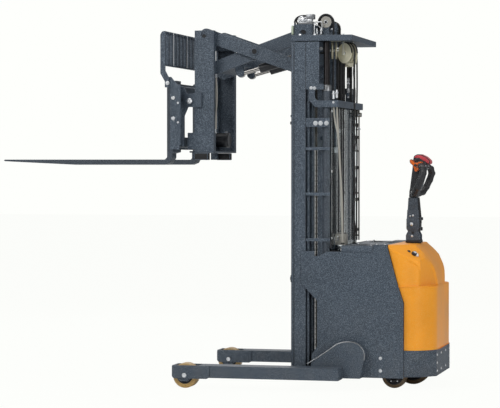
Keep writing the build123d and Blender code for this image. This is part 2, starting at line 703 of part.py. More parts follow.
# Front frame: two channels open to the middle, with rounded tilt lugs outside
front_x = (front_pivot_x - front_depth / 2, front_pivot_x + front_depth / 2)
lug_t = 18.0
with BuildPart() as front_frame:
    channel = [
        (front_x[1], channel_in_y),
        (front_x[1], carriage_half_w),
        (front_x[0], carriage_half_w),
        (front_x[0], channel_in_y),
        (front_x[0] + 12, channel_in_y),
        (front_x[0] + 12, carriage_half_w - carriage_web_t),
        (front_x[1] - 12, carriage_half_w - carriage_web_t),
        (front_x[1] - 12, channel_in_y),
    ]
    extrude(outline(Plane.XY.offset(front_bottom_z), channel), amount=front_top_z - front_bottom_z)
    block(front_x, (channel_in_y, carriage_half_w), (front_top_z - 100, front_top_z))
    round_bar("Y", (front_pivot_x, carriage_half_w - 30, scissor_pivot_z), scissor_pin_r + pin_gap, 80, Mode.SUBTRACT)
    lug = [
        (tilt_pin_x - 78, tilt_pin_z - 37),
        (tilt_pin_x + 20, tilt_pin_z - 37),
        (tilt_pin_x + 36, tilt_pin_z - 20),
        (tilt_pin_x + 36, tilt_pin_z + 24),
        (tilt_pin_x + 20, tilt_pin_z + 44),
        (tilt_pin_x - 78, tilt_pin_z + 49),
    ]
    extrude(outline(side_plane(carriage_half_w + lug_t), lug), amount=lug_t)
    round_bar("Y", (tilt_pin_x, carriage_half_w, tilt_pin_z), tilt_pin_r + pin_gap, 80, Mode.SUBTRACT)
    block((front_x[1], front_x[1] + 45), (200, carriage_half_w), (front_bottom_z + 9, front_bottom_z + 112))
    mirror(about=Plane.XZ)
    for tie_z in ((front_bottom_z, front_bottom_z + 17), (1690, 1770), (front_top_z - 100, front_top_z - 8)):
        block((front_x[1] - 12, front_x[1]), (-channel_in_y, channel_in_y), tie_z)
    block(front_x, (-carriage_half_w, carriage_half_w), (front_bottom_z - 10, front_bottom_z))
    for side in (-1, 1):
        round_bar("Z", (front_x[1] + 8, side * 226, front_bottom_z - 31), 24, 44)
        block((front_x[1] - 20, front_x[1] + 40), sorted((side * 196, side * 256)), (front_bottom_z - 10, front_bottom_z))
    for ear_y in (-62, 50):
        block((tilt_trunnion_x - 26, front_x[1]), (ear_y, ear_y + 12), (front_bottom_z, tilt_cyl_z + 26))
    round_bar("Y", (tilt_trunnion_x, 0, tilt_cyl_z), 12 + pin_gap, 140, Mode.SUBTRACT)
write("front_frame", front_frame.part)

# Reach cylinders, from the reach carriage's lugs to the inner arms' clevises
reach_plane = Plane(
    origin=(reach_rear_x, reach_cyl_y, reach_rear_z),
    x_dir=(0, 1, 0),
    z_dir=(cos(reach_tilt), 0, sin(reach_tilt)),
)
barrel_len = reach_len - reach_stroke - reach_eye_r - 16
with BuildPart() as reach_barrels:
    with BuildSketch(reach_plane):
        Circle(reach_eye_w / 2 - 1.5)
    extrude(amount=reach_eye_r + 16)
    with BuildSketch(reach_plane.offset(reach_eye_r + 12)):
        Circle(reach_cyl_r)
    extrude(amount=barrel_len - reach_eye_r - 12)
    round_bar("Y", (reach_rear_x, reach_cyl_y, reach_rear_z), reach_eye_r, reach_eye_w)
    round_bar("Y", (reach_rear_x, reach_cyl_y, reach_rear_z), reach_pin_r + pin_gap, 60, Mode.SUBTRACT)
    with BuildSketch(reach_plane.offset(reach_eye_r + 20)):
        Circle(reach_rod_r + pin_gap)
    extrude(amount=reach_len, mode=Mode.SUBTRACT)
    mirror(about=Plane.XZ)
write("reach_barrels", reach_barrels.part)

with BuildPart() as reach_rods:
    with BuildSketch(reach_plane.offset(reach_eye_r + 26 + reach_stroke)):
        Circle(reach_rod_r)
    extrude(amount=reach_len - 2 * reach_eye_r - 22 - reach_stroke)
    round_bar("Y", (reach_pin_x, reach_cyl_y, reach_pin_z), reach_eye_r, reach_eye_w)
    mirror(about=Plane.XZ)
write("reach_rods", reach_rods.part)

# Chains of the free lift: one strand on the carriage, one on the crosshead


def chain_strand(x, low_z, high_z):
    """A leaf chain's straight run on the truck's middle plane."""
    block((x - chain_t / 2, x + chain_t / 2), (-chain_w / 2, chain_w / 2), (low_z, high_z))


with BuildPart() as carriage_chain:
    chain_strand(anchor_x, carriage_bottom_z + 74, free_sheave_z - 4)
write("carriage_chain", carriage_chain.part)

with BuildPart() as crosshead_chain:
    chain_strand(rear_strand_x, free_sheave_z - free_lift / 2, free_sheave_z)
    round_bar("Y", (free_cyl_x, 0, free_sheave_z), free_chain_dx + chain_t / 2, chain_w)
    round_bar("Y", (free_cyl_x, 0, free_sheave_z), free_chain_dx - chain_t / 2, chain_w, Mode.SUBTRACT)
    block(
        (rear_strand_x + chain_t / 2, anchor_x + chain_t),
        (-chain_w, chain_w),
        (free_sheave_z - 60, free_sheave_z),
        Mode.SUBTRACT,
    )
write("crosshead_chain", crosshead_chain.part)

# Lift chains at the mast's sides, over sheaves under the top plate
side_sheave_x = -657.0
side_sheave_y = 318.0
side_sheave_r = 28.7
side_sheave_z = 2036.0
with BuildPart() as chain_sheaves:
    round_bar("Y", (side_sheave_x, side_sheave_y, side_sheave_z), side_sheave_r, 18)
    round_bar("Y", (side_sheave_x, side_sheave_y + 6, side_sheave_z), 9, 44)
    block(
        (side_sheave_x - 14, side_sheave_x + 14),
        (side_sheave_y + 16, side_sheave_y + 28),
        (side_sheave_z - 14, top_plate_z),
    )
    mirror(about=Plane.XZ)
write("chain_sheaves", chain_sheaves.part)

chain_dx = side_sheave_r + 0.3 + chain_t / 2
with BuildPart() as inner_chains:
    x = side_sheave_x + chain_dx
    block((x - 6, x + 6), (side_sheave_y - 8, side_sheave_y + 8), (inner_foot_z, side_sheave_z))
    block((x - 6, inner_rear_x), (inner_in_y + 1, side_sheave_y - 7), (inner_foot_z, inner_foot_z + 40))
    mirror(about=Plane.XZ)
write("inner_chains", inner_chains.part)

with BuildPart() as anchor_chains:
    x = side_sheave_x - chain_dx
    block((x - 6, x + 6), (side_sheave_y - 8, side_sheave_y + 8), (1868, side_sheave_z))
    round_bar("Z", (x, side_sheave_y, 1815), 6, 110)
    block((x - 10, x + 10), (side_sheave_y - 9, lift_cyl_y - 12), (lift_cyl_top_z - 45, lift_cyl_top_z - 20))
    mirror(about=Plane.XZ)
    with BuildSketch(Plane.XY.offset(lift_cyl_top_z - 60)):
        with Locations((lift_cyl_x, lift_cyl_y), (lift_cyl_x, -lift_cyl_y)):
            Circle(lift_cyl_r)
    extrude(amount=80, mode=Mode.SUBTRACT)
write("anchor_chains", anchor_chains.part)

# Hose sheaves under the top plate, turned to lead the hoses inwards
hose_sheave_r = 61.0
hose_sheave_t = 10.0
hose_sheave_z = 2012.0
hose_sheave_turn = 26.6
hose_sets = [(-798.0, 235.0), (-706.0, -245.0)]
with BuildPart() as hose_sheaves:
    for x, y in hose_sets:
        lean = radians(hose_sheave_turn) * (1 if y > 0 else -1)
        axle = Plane(origin=(x, y, hose_sheave_z), x_dir=(0, 0, 1), z_dir=(cos(lean), sin(lean), 0))
        for k in (-1, 0, 1):
            with BuildSketch(axle.offset(k * 22 - hose_sheave_t / 2)):
                Circle(hose_sheave_r)
            extrude(amount=hose_sheave_t)
        with BuildSketch(axle.offset(-40)):
            Circle(8)
        extrude(amount=74)
        for k in (-40, 34):
            with BuildSketch(axle.offset(k)):
                with Locations(((top_plate_z - hose_sheave_z) / 2 - 10, 0)):
                    Rectangle(top_plate_z - hose_sheave_z + 20, 36)
            extrude(amount=6)
    block((top_plate_rear_x + 95, -665), (-288, -205), (top_plate_z, top_plate_z + 12))
write("hose_sheaves", hose_sheaves.part)

# Fork carriage: two hooked bars joined by lug plates that hang on the tilt pins
with BuildPart() as fork_carriage:
    upper_bar = [
        (bar_back_x, upper_bar_top_z - carriage_bar_h),
        (bar_front_x, upper_bar_top_z - carriage_bar_h),
        (bar_front_x, upper_bar_top_z),
        (bar_front_x - 14, upper_bar_top_z),
        (bar_front_x - 14, upper_bar_top_z - 12),
        (bar_back_x, upper_bar_top_z - 18),
    ]
    lower_bar = [
        (bar_back_x, lower_bar_bottom_z + 18),
        (bar_front_x - 14, lower_bar_bottom_z + 12),
        (bar_front_x - 14, lower_bar_bottom_z),
        (bar_front_x, lower_bar_bottom_z),
        (bar_front_x, lower_bar_bottom_z + carriage_bar_h),
        (bar_back_x, lower_bar_bottom_z + carriage_bar_h),
    ]
    for bar in (upper_bar, lower_bar):
        extrude(outline(side_plane(carriage_w / 2), bar), amount=carriage_w)
    lug_plate = [
        (bar_back_x, upper_bar_top_z - 20),
        (bar_back_x - 22, upper_bar_top_z - 20),
        (tilt_pin_x + 14, tilt_pin_z + 34),
        (tilt_pin_x - 12, tilt_pin_z + 24),
        (tilt_pin_x - 23, tilt_pin_z),
        (tilt_pin_x - 12, tilt_pin_z - 24),
        (tilt_pin_x + 14, tilt_pin_z - 34),
        (bar_back_x - 24, tilt_pin_z - 90),
        (bar_back_x - 24, lower_bar_bottom_z + 20),
        (bar_back_x, lower_bar_bottom_z + 20),
    ]
    lug_out_y = carriage_half_w - 6
    extrude(outline(side_plane(lug_out_y), lug_plate), amount=20)
    round_bar("Y", (tilt_pin_x, lug_out_y + 4, tilt_pin_z), tilt_pin_r, 48)
    round_bar("Y", (tilt_pin_x, carriage_half_w + lug_t + 7, tilt_pin_z), tilt_pin_r + 5, 12)
    end_plate = [
        (bar_back_x - 26, lower_bar_bottom_z),
        (bar_front_x, lower_bar_bottom_z),
        (bar_front_x, upper_bar_top_z - 40),
        (bar_front_x + 26, upper_bar_top_z + 10),
        (bar_front_x + 26, upper_bar_top_z + 38),
        (bar_front_x - 4, upper_bar_top_z + 38),
        (bar_back_x - 26, upper_bar_top_z - 24),
    ]
    extrude(outline(side_plane(carriage_w / 2), end_plate), amount=14)
    clevis = [
        (bar_back_x + 1, tilt_cyl_z - 24),
        (bar_back_x + 1, tilt_cyl_z + 12),
        (tilt_eye_x, tilt_cyl_z + 20),
        (tilt_eye_x - 17, tilt_cyl_z + 10),
        (tilt_eye_x - 17, tilt_cyl_z - 10),
        (tilt_eye_x, tilt_cyl_z - 20),
    ]
    extrude(outline(side_plane(26), clevis), amount=12)
    mirror(about=Plane.XZ)
    round_bar("Y", (tilt_eye_x, 0, tilt_cyl_z), 9, 40)
write("fork_carriage", fork_carriage.part)

# Forks: hooked on the bars, tapered to the tip
with BuildPart() as fork:
    with BuildSketch(side_plane(fork_y + fork_w / 2)):
        with BuildLine():
            Polyline(
                (fork_back_x, fork_bottom_z + 44),
                (fork_back_x + 16, fork_bottom_z + 12),
                (fork_back_x + 46, fork_bottom_z),
                (fork_tip_x - 480, fork_bottom_z),
                (fork_tip_x - 6, fork_top_z - fork_tip_t),
                (fork_tip_x, fork_top_z - fork_tip_t / 2),
                (fork_tip_x - 6, fork_top_z),
                (fork_heel_x + 14, fork_top_z),
                (fork_heel_x, fork_top_z + 14),
                (fork_heel_x, fork_shank_top_z - 8),
                (fork_heel_x - 8, fork_shank_top_z),
                (bar_back_x + 3, fork_shank_top_z),
                (bar_back_x + 3, upper_bar_top_z - 8),
                (bar_front_x - 14 - 2, upper_bar_top_z - 8),
                (bar_front_x - 14 - 2, upper_bar_top_z + 2),
                (fork_back_x, upper_bar_top_z + 2),
                close=True,
            )
        make_face()
    extrude(amount=fork_w)
    low_hook = [
        (fork_back_x + 1, lower_bar_bottom_z - 2),
        (bar_front_x - 16, lower_bar_bottom_z - 2),
        (bar_front_x - 16, lower_bar_bottom_z + 8),
        (bar_back_x + 3, lower_bar_bottom_z + 8),
        (bar_back_x + 3, lower_bar_bottom_z - 16),
        (fork_back_x + 1, lower_bar_bottom_z - 24),
    ]
    extrude(outline(side_plane(fork_y + fork_w / 2), low_hook), amount=fork_w)
    for corner in (1, -1):
        wedge = [
            (fork_tip_x + 1, fork_y + corner * (fork_w / 2 - 26)),
            (fork_tip_x + 1, fork_y + corner * (fork_w / 2 + 2)),
            (fork_tip_x - 90, fork_y + corner * (fork_w / 2 + 2)),
            (fork_tip_x - 90, fork_y + corner * fork_w / 2),
        ]
        extrude(outline(Plane.XY.offset(fork_bottom_z - 5), wedge), amount=60, mode=Mode.SUBTRACT)
write_pair("fork", fork.part)

# Load backrest: flat side bars bent forward, with a grille of upright flats
rest_top_z = 2153.0
rest_foot_z = 1943.0
rest_back_x = 303.0
rest_front_x = 331.0
rest_bars = 9
with BuildPart() as load_backrest:
    side_bar = [
        (bar_front_x + 3, 1810),
        (bar_front_x + 30, 1810),
        (bar_front_x + 30, 1846),
        (rest_front_x, 1896),
        (rest_front_x, rest_top_z - 22),
        (rest_front_x - 9, rest_top_z - 6),
        (rest_back_x - 2, rest_top_z),
        (rest_back_x - 2, 1912),
        (bar_front_x + 3, 1866),
    ]
    extrude(outline(side_plane(carriage_w / 2 + 12), side_bar), amount=12)
    mirror(about=Plane.XZ)
    for rail_z in ((rest_foot_z, rest_foot_z + 10), (rest_top_z - 10, rest_top_z)):
        block((rest_back_x, rest_front_x - 10), (-carriage_w / 2, carriage_w / 2), rail_z)
    for i in range(rest_bars):
        y = (i - (rest_bars - 1) / 2) * carriage_w / (rest_bars + 1)
        block((rest_back_x, rest_front_x - 10), (y - 5, y + 5), (rest_foot_z, rest_top_z))
write("load_backrest", load_backrest.part)

# Tilt cylinder
with BuildPart() as tilt_barrel:
    length = tilt_barrel_front_x - tilt_barrel_rear_x
    round_bar("X", (tilt_barrel_rear_x + length / 2, 0, tilt_cyl_z), tilt_cyl_r, length)
    round_bar("Y", (tilt_trunnion_x, 0, tilt_cyl_z), 12, 124)
    bore_x = (40, tilt_barrel_front_x + 1)
    round_bar("X", (sum(bore_x) / 2, 0, tilt_cyl_z), tilt_rod_r + pin_gap, bore_x[1] - bore_x[0], Mode.SUBTRACT)
write("tilt_barrel", tilt_barrel.part)

with BuildPart() as tilt_rod:
    rod_x = (60, tilt_eye_x - 28)
    round_bar("X", (sum(rod_x) / 2, 0, tilt_cyl_z), tilt_rod_r, rod_x[1] - rod_x[0])
    block((rod_x[1] - 2, tilt_eye_x - 10), (-11, 11), (tilt_cyl_z - 13, tilt_cyl_z + 13))
    round_bar("Y", (tilt_eye_x, 0, tilt_cyl_z), tilt_eye_r, 24)
    round_bar("Y", (tilt_eye_x, 0, tilt_cyl_z), 9 + 1.5, 60, Mode.SUBTRACT)
write("tilt_rod", tilt_rod.part)

# Drive unit: turntable, wheel box and steering column
shelf_top_z = drive_shelf_z + frame_t
with BuildPart() as drive_unit:
    round_bar("Z", (drive_x, 0, shelf_top_z + seat_gap + 7), 120, 14)
    round_bar("Z", (drive_x, 0, shelf_top_z - 10), shelf_hole_r - 6, 50)
    round_bar("Z", (drive_x, 0, 430), 82, 290)
    column_z = (560, tiller_plate_z)
    round_bar("Z", (drive_x, 0, sum(column_z) / 2), 28, column_z[1] - column_z[0])
    gear_y = (drive_wheel_w / 2 + 8, drive_wheel_w / 2 + 42)
    block((drive_x - 52, drive_x + 52), gear_y, (drive_wheel_r - 40, drive_shelf_z - 18))
    block((drive_x - 52, drive_x + 52), (-60, gear_y[1]), (2 * drive_wheel_r + 12, drive_shelf_z - 13))
    round_bar("Y", (drive_x, 12, drive_wheel_r), 22, 76)
write("drive_unit", drive_unit.part)

with BuildPart() as drive_wheel:
    round_bar("Y", (0, 0, 0), drive_wheel_r, drive_wheel_w)
    round_bar("Y", (0, 0, 0), 22 + pin_gap, 100, Mode.SUBTRACT)
write("drive_wheel", drive_wheel.part.moved(Location((drive_x, 0, drive_wheel_r))))

# Casters
caster_wheel_x = caster_x + caster_trail
with BuildPart() as caster_fork:
    round_bar("Z", (caster_x, caster_y, caster_top_z - 6 - seat_gap), 44, 12)
    ear = [
        (caster_x - 30, caster_top_z - 14),
        (caster_x + 42, caster_top_z - 14),
        (caster_wheel_x + 18, caster_r - 10),
        (caster_wheel_x - 8, caster_r - 18),
        (caster_wheel_x - 20, caster_r + 4),
    ]
    ear_out_y = caster_w / 2 + 12
    for ear_y in (ear_out_y, 6 - ear_out_y):
        extrude(outline(side_plane(caster_y + ear_y), ear), amount=6)
    block(
        (caster_x - 30, caster_x + 42),
        (caster_y - ear_out_y, caster_y + ear_out_y),
        (caster_top_z - 20, caster_top_z - 12),
    )
    round_bar("Y", (caster_wheel_x, caster_y, caster_r), 8, 2 * ear_out_y)
write_pair("caster_fork", caster_fork.part)

with BuildPart() as caster_wheel:
    round_bar("Y", (0, 0, 0), caster_r, caster_w)
    round_bar("Y", (0, 0, 0), 8 + pin_gap, 80, Mode.SUBTRACT)
write_pair("caster_wheel", caster_wheel.part.moved(Location((caster_wheel_x, caster_y, caster_r))))

# Tiller base on the steering column: two cheeks on a turning plate
with BuildPart() as tiller_base:
    block((drive_x - 43, drive_x + 43), (-46, 46), (tiller_plate_z, tiller_plate_z + 8))
    cheek = [
        (drive_x - 43, tiller_plate_z + 6),
        (drive_x + 43, tiller_plate_z + 6),
        (drive_x + 43, tiller_pivot_z - 16),
        (drive_x + 26, tiller_pivot_z + 18),
        (drive_x - 26, tiller_pivot_z + 18),
        (drive_x - 43, tiller_pivot_z - 16),
    ]
    for cheek_y in (46, -34):
        extrude(outline(side_plane(cheek_y), cheek), amount=12)
    round_bar("Y", (drive_x, 0, tiller_pivot_z), 9 + pin_gap, 120, Mode.SUBTRACT)
write("tiller_base", tiller_base.part)

# Tiller arm, upright at rest
tiller_top_z = 1140.0
with BuildPart() as tiller_arm:
    arm_edge = [
        (drive_x - 20, tiller_pivot_z - 16),
        (drive_x + 20, tiller_pivot_z - 16),
        (drive_x + 40, tiller_pivot_z + 32),
        (drive_x + 40, tiller_pivot_z + 90),
        (drive_x + 28, tiller_top_z),
        (drive_x - 30, tiller_top_z),
        (drive_x - 42, tiller_pivot_z + 90),
        (drive_x - 42, tiller_pivot_z + 32),
    ]
    extrude(outline(side_plane(28), arm_edge), amount=56)
    round_bar("Y", (drive_x, 0, tiller_pivot_z), 9, 92)
write("tiller_arm", tiller_arm.part)

# Tiller head: a leaning body between two rounded loop handles
loop_lean = radians(18.0)
loop_outer_y = 172.0
loop_mid_z = tiller_top_z + 105
with BuildPart() as tiller_head:
    head = [
        (drive_x + 28, tiller_top_z),
        (drive_x - 28, tiller_top_z),
        (drive_x - 46, tiller_top_z + 40),
        (drive_x - 72, tiller_top_z + 130),
        (drive_x - 98, tiller_top_z + 206),
        (drive_x - 104, tiller_top_z + 226),
        (drive_x - 84, tiller_top_z + 254),
        (drive_x - 42, tiller_top_z + 266),
        (drive_x - 6, tiller_top_z + 248),
        (drive_x + 6, tiller_top_z + 224),
        (drive_x - 4, tiller_top_z + 160),
        (drive_x + 22, tiller_top_z + 50),
    ]
    extrude(outline(side_plane(42), head), amount=84)
    fillet(tiller_head.edges().filter_by(GeomType.LINE).filter_by(Axis.Y).group_by(Axis.Z)[-1], 10)
    for side in (1, -1):
        grip = Plane(
            origin=(drive_x - 43, side * (loop_outer_y + 22) / 2, loop_mid_z),
            x_dir=(0, 1, 0),
            z_dir=(cos(loop_lean), 0, sin(loop_lean)),
        )
        with BuildSketch(grip.offset(-17)):
            RectangleRounded(loop_outer_y - 22, 192, 44)
            RectangleRounded(loop_outer_y - 68, 150, 26, mode=Mode.SUBTRACT)
        extrude(amount=34)
write("tiller_head", tiller_head.part)
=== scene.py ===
"""Walkie reach truck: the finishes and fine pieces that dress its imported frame."""

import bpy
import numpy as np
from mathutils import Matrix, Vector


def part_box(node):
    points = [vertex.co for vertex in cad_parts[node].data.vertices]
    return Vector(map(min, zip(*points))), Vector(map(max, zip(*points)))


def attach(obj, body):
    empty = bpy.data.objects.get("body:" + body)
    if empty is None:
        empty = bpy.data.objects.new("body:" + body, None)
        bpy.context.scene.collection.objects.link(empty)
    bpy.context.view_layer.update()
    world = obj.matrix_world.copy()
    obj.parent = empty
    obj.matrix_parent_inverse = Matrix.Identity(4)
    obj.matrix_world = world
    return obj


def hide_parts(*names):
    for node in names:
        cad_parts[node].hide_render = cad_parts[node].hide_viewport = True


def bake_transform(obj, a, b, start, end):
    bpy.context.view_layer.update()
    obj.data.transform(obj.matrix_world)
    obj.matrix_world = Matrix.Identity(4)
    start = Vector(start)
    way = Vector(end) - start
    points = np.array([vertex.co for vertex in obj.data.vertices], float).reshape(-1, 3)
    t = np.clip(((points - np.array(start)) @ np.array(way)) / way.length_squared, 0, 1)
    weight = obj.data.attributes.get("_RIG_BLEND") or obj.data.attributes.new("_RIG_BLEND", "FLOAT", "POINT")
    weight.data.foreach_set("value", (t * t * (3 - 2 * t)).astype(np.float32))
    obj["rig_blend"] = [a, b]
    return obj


bl_info = {
    "name": "Walkie Reach Truck",
    "version": (1, 0, 0),
    "blender": (4, 5, 0),
    "location": "View3D > Sidebar > Reach Truck",
    "description": "Paint, hood, chains, sheaves, wheels and fittings of a walkie reach truck",
    "category": "Object",
}

from math import cos, hypot, pi, radians, sin

import bmesh
import bpy
import numpy as np
from mathutils import Vector

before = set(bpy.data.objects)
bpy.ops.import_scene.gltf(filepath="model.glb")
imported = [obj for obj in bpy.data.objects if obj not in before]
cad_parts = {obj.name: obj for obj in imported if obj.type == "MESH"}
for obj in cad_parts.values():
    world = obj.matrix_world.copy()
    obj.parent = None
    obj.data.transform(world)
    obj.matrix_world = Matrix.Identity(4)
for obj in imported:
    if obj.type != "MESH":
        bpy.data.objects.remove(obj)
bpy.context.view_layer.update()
SHIFT_X = -0.013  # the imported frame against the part's own origin, metres
UP, OUT, REAR, FRONT = (0, 0, 1), (0, 1, 0), (-1, 0, 0), (1, 0, 0)
FLOAT, COLOUR = "NodeSocketFloat", "NodeSocketColor"


def part(x, y, z):
    """A point given in the part's own millimetres, in the frame's metres."""
    return Vector((x / 1000 + SHIFT_X, y / 1000, z / 1000))


def to_part(place):
    """A point given in the frame's metres, in the part's own millimetres."""
    return Vector(((place[0] - SHIFT_X) * 1000, place[1] * 1000, place[2] * 1000))


def srgb(red, green, blue, alpha=1.0):
    """A colour as seen on screen, 0 to 255, made linear."""
    return tuple((c / 255) ** 2.2 for c in (red, green, blue)) + (alpha,)


# ---------------------------------------------------------------- sizes and colours


class PaintSettings(bpy.types.PropertyGroup):
    """Colours of the truck's finishes."""

    frame_paint: bpy.props.FloatVectorProperty(
        name="Frame paint", description="Dark blue-grey powder coat of the mast, legs and panels",
        subtype="COLOR", size=4, min=0.0, max=1.0, default=srgb(56, 66, 77),
    )
    hood: bpy.props.FloatVectorProperty(
        name="Hood", description="Moulded orange hood over the drive unit",
        subtype="COLOR", size=4, min=0.0, max=1.0, default=srgb(255, 163, 40),
    )
    plastic: bpy.props.FloatVectorProperty(
        name="Black plastic", description="Tiller head, plugs and guards",
        subtype="COLOR", size=4, min=0.0, max=1.0, default=srgb(38, 39, 42),
    )
    tread: bpy.props.FloatVectorProperty(
        name="Wheel tread", description="Cast polyurethane of the load wheels",
        subtype="COLOR", size=4, min=0.0, max=1.0, default=srgb(196, 158, 92),
    )
    nylon: bpy.props.FloatVectorProperty(
        name="Nylon", description="Cream nylon of the hose sheaves",
        subtype="COLOR", size=4, min=0.0, max=1.0, default=srgb(206, 202, 178),
    )


class SizeSettings(bpy.types.PropertyGroup):
    """Sizes of the repeated fittings."""

    edge: bpy.props.FloatProperty(
        name="Edge radius", description="Radius of the broken edges on the painted steel",
        unit="LENGTH", min=0.0005, max=0.004, default=0.0016,
    )
    chain_pitch: bpy.props.FloatProperty(
        name="Chain pitch", description="Distance from pin to pin of the leaf chains",
        unit="LENGTH", min=0.008, max=0.04, default=0.01588,
    )
    bolt_head: bpy.props.FloatProperty(
        name="Bolt head", description="Width across the corners of a common bolt head",
        unit="LENGTH", min=0.006, max=0.05, default=0.019,
    )


# ---------------------------------------------------------------- shader node groups


def node_group(name, inputs, outputs):
    """An empty shader node group with its sockets; returns it, its inputs' sockets and its output node."""
    group = bpy.data.node_groups.new(name, "ShaderNodeTree")
    for label, kind, default in inputs:
        group.interface.new_socket(label, in_out="INPUT", socket_type=kind).default_value = default
    for label, kind in outputs:
        group.interface.new_socket(label, in_out="OUTPUT", socket_type=kind)
    return group, group.nodes.new("NodeGroupInput").outputs, group.nodes.new("NodeGroupOutput")


def feed(tree, node, values):
    """Set or link the inputs of a node: a socket is linked, and anything else is its value."""
    for key, value in values.items():
        if isinstance(value, bpy.types.NodeSocket):
            tree.links.new(value, node.inputs[key])
        else:
            node.inputs[key].default_value = value
    return node


def add_node(tree, kind, values=None, **settings):
    """A node with some of its properties set and its inputs fed."""
    node = tree.nodes.new(kind)
    for key, value in settings.items():
        setattr(node, key, value)
    return feed(tree, node, values or {})


def math_node(tree, operation, first, second, clamp=False):
    """The output of a Math node."""
    values = {0: first, 1: second}
    return add_node(tree, "ShaderNodeMath", values, operation=operation, use_clamp=clamp).outputs[0]


def noise_node(tree, scale, detail=2.0, roughness=0.5, vector=None):
    """The value of a noise texture on object coordinates."""
    vector = vector or add_node(tree, "ShaderNodeTexCoord").outputs["Object"]
    values = {"Vector": vector, "Scale": scale, "Detail": detail, "Roughness": roughness}
    return add_node(tree, "ShaderNodeTexNoise", values).outputs["Fac"]


def remap(tree, value, low, high, to_low=0.0, to_high=1.0):
    """A clamped Map Range from low..high."""
    values = {"Value": value, "From Min": low, "From Max": high, "To Min": to_low, "To Max": to_high}
    return add_node(tree, "ShaderNodeMapRange", values, clamp=True).outputs["Result"]


def blend_colour(tree, factor, first, second):
    """The colour output of a Mix node."""
    values = {"Factor": factor, 6: first, 7: second}
    return add_node(tree, "ShaderNodeMix", values, data_type="RGBA").outputs[2]


def make_speckle():
    """Fine flecks and the orange-peel skin of a sprayed or powder-coated surface."""
    tree, inlet, outlet = node_group(
        "Sprayed skin",
        (("Base", COLOUR, (0.5, 0.5, 0.5, 1)), ("Fleck", COLOUR, (0.7, 0.7, 0.7, 1)),
         ("Fleck Scale", FLOAT, 900.0), ("Fleck Amount", FLOAT, 0.4)),
        (("Color", COLOUR), ("Height", FLOAT), ("Cloud", FLOAT)),
    )
    flecks = noise_node(tree, inlet["Fleck Scale"], 1.0, 0.6)
    mask = math_node(tree, "MULTIPLY", remap(tree, flecks, 0.52, 0.68), inlet["Fleck Amount"])
    cloud = noise_node(tree, 3.1, 4.0, 0.6)
    values = {
        "Color": blend_colour(tree, mask, inlet["Base"], inlet["Fleck"]),
        "Value": remap(tree, cloud, 0.3, 0.7, 0.9, 1.1),
    }
    clouded = add_node(tree, "ShaderNodeHueSaturation", values).outputs[0]
    feed(tree, outlet, {"Color": clouded, "Height": flecks, "Cloud": remap(tree, cloud, 0.3, 0.7)})
    return tree


def make_edge_wear():
    """A mask that is 1 where an exposed edge has been rubbed."""
    inputs = (("Width", FLOAT, 0.003), ("Amount", FLOAT, 0.5))
    tree, inlet, outlet = node_group("Edge rub", inputs, (("Mask", FLOAT),))
    eased = add_node(tree, "ShaderNodeBevel", {"Radius": inlet["Width"]}, samples=4).outputs[0]
    flat = add_node(tree, "ShaderNodeNewGeometry").outputs["Normal"]
    dot = add_node(tree, "ShaderNodeVectorMath", {0: eased, 1: flat}, operation="DOT_PRODUCT")
    turned = remap(tree, dot.outputs["Value"], 0.995, 0.90)
    patches = remap(tree, noise_node(tree, 38.0, 5.0, 0.7), 0.48, 0.66)
    rubbed = math_node(tree, "MULTIPLY", turned, patches)
    feed(tree, outlet, {"Mask": math_node(tree, "MULTIPLY", rubbed, inlet["Amount"], clamp=True)})
    return tree


def make_dust():
    """A mask of dust that lies on upward faces and near the floor."""
    inputs = (("Amount", FLOAT, 0.2), ("Reach", FLOAT, 0.5))
    tree, inlet, outlet = node_group("Settled dust", inputs, (("Mask", FLOAT),))
    normal = add_node(tree, "ShaderNodeNewGeometry").outputs["Normal"]
    place = add_node(tree, "ShaderNodeTexCoord").outputs["Object"]
    facing, level = (
        add_node(tree, "ShaderNodeSeparateXYZ", {0: value}).outputs["Z"] for value in (normal, place)
    )
    ratio = math_node(tree, "DIVIDE", level, inlet["Reach"])
    low_down = math_node(tree, "MULTIPLY", remap(tree, ratio, 1.0, 0.0), 0.7)
    lying = math_node(tree, "MAXIMUM", remap(tree, facing, 0.3, 0.95), low_down)
    patches = remap(tree, noise_node(tree, 11.0, 6.0, 0.65), 0.35, 0.72)
    dusty = math_node(tree, "MULTIPLY", lying, patches)
    feed(tree, outlet, {"Mask": math_node(tree, "MULTIPLY", dusty, inlet["Amount"], clamp=True)})
    return tree


def make_brushed():
    """Fine lines of turned or ground metal, long along one axis."""
    tree, inlet, outlet = node_group(
        "Ground lines",
        (("Stretch", "NodeSocketVector", (40.0, 40.0, 900.0)), ("Tint", COLOUR, (0.6, 0.6, 0.6, 1)),
         ("Stain", COLOUR, (0.3, 0.3, 0.3, 1)), ("Stain Amount", FLOAT, 0.3)),
        (("Color", COLOUR), ("Rough", FLOAT), ("Height", FLOAT)),
    )
    place = add_node(tree, "ShaderNodeTexCoord").outputs["Object"]
    drawn = add_node(tree, "ShaderNodeVectorMath", {0: place, 1: inlet["Stretch"]}, operation="MULTIPLY")
    lines = noise_node(tree, 1.0, 3.0, 0.6, drawn.outputs[0])
    stains = remap(tree, noise_node(tree, 26.0, 5.0, 0.7), 0.45, 0.75)
    mask = math_node(tree, "MULTIPLY", stains, inlet["Stain Amount"])
    colour = blend_colour(tree, mask, inlet["Tint"], inlet["Stain"])
    feed(tree, outlet, {"Color": colour, "Rough": remap(tree, lines, 0.3, 0.7), "Height": lines})
    return tree


# ---------------------------------------------------------------- finishes


GROUPS = {}
FINISHES = {}


def use_group(tree, name, **values):
    """The outputs of a shader node group placed in a material, with its own values."""
    values = {key.replace("_", " "): value for key, value in values.items()}
    return add_node(tree, "ShaderNodeGroup", values, node_tree=GROUPS[name]).outputs


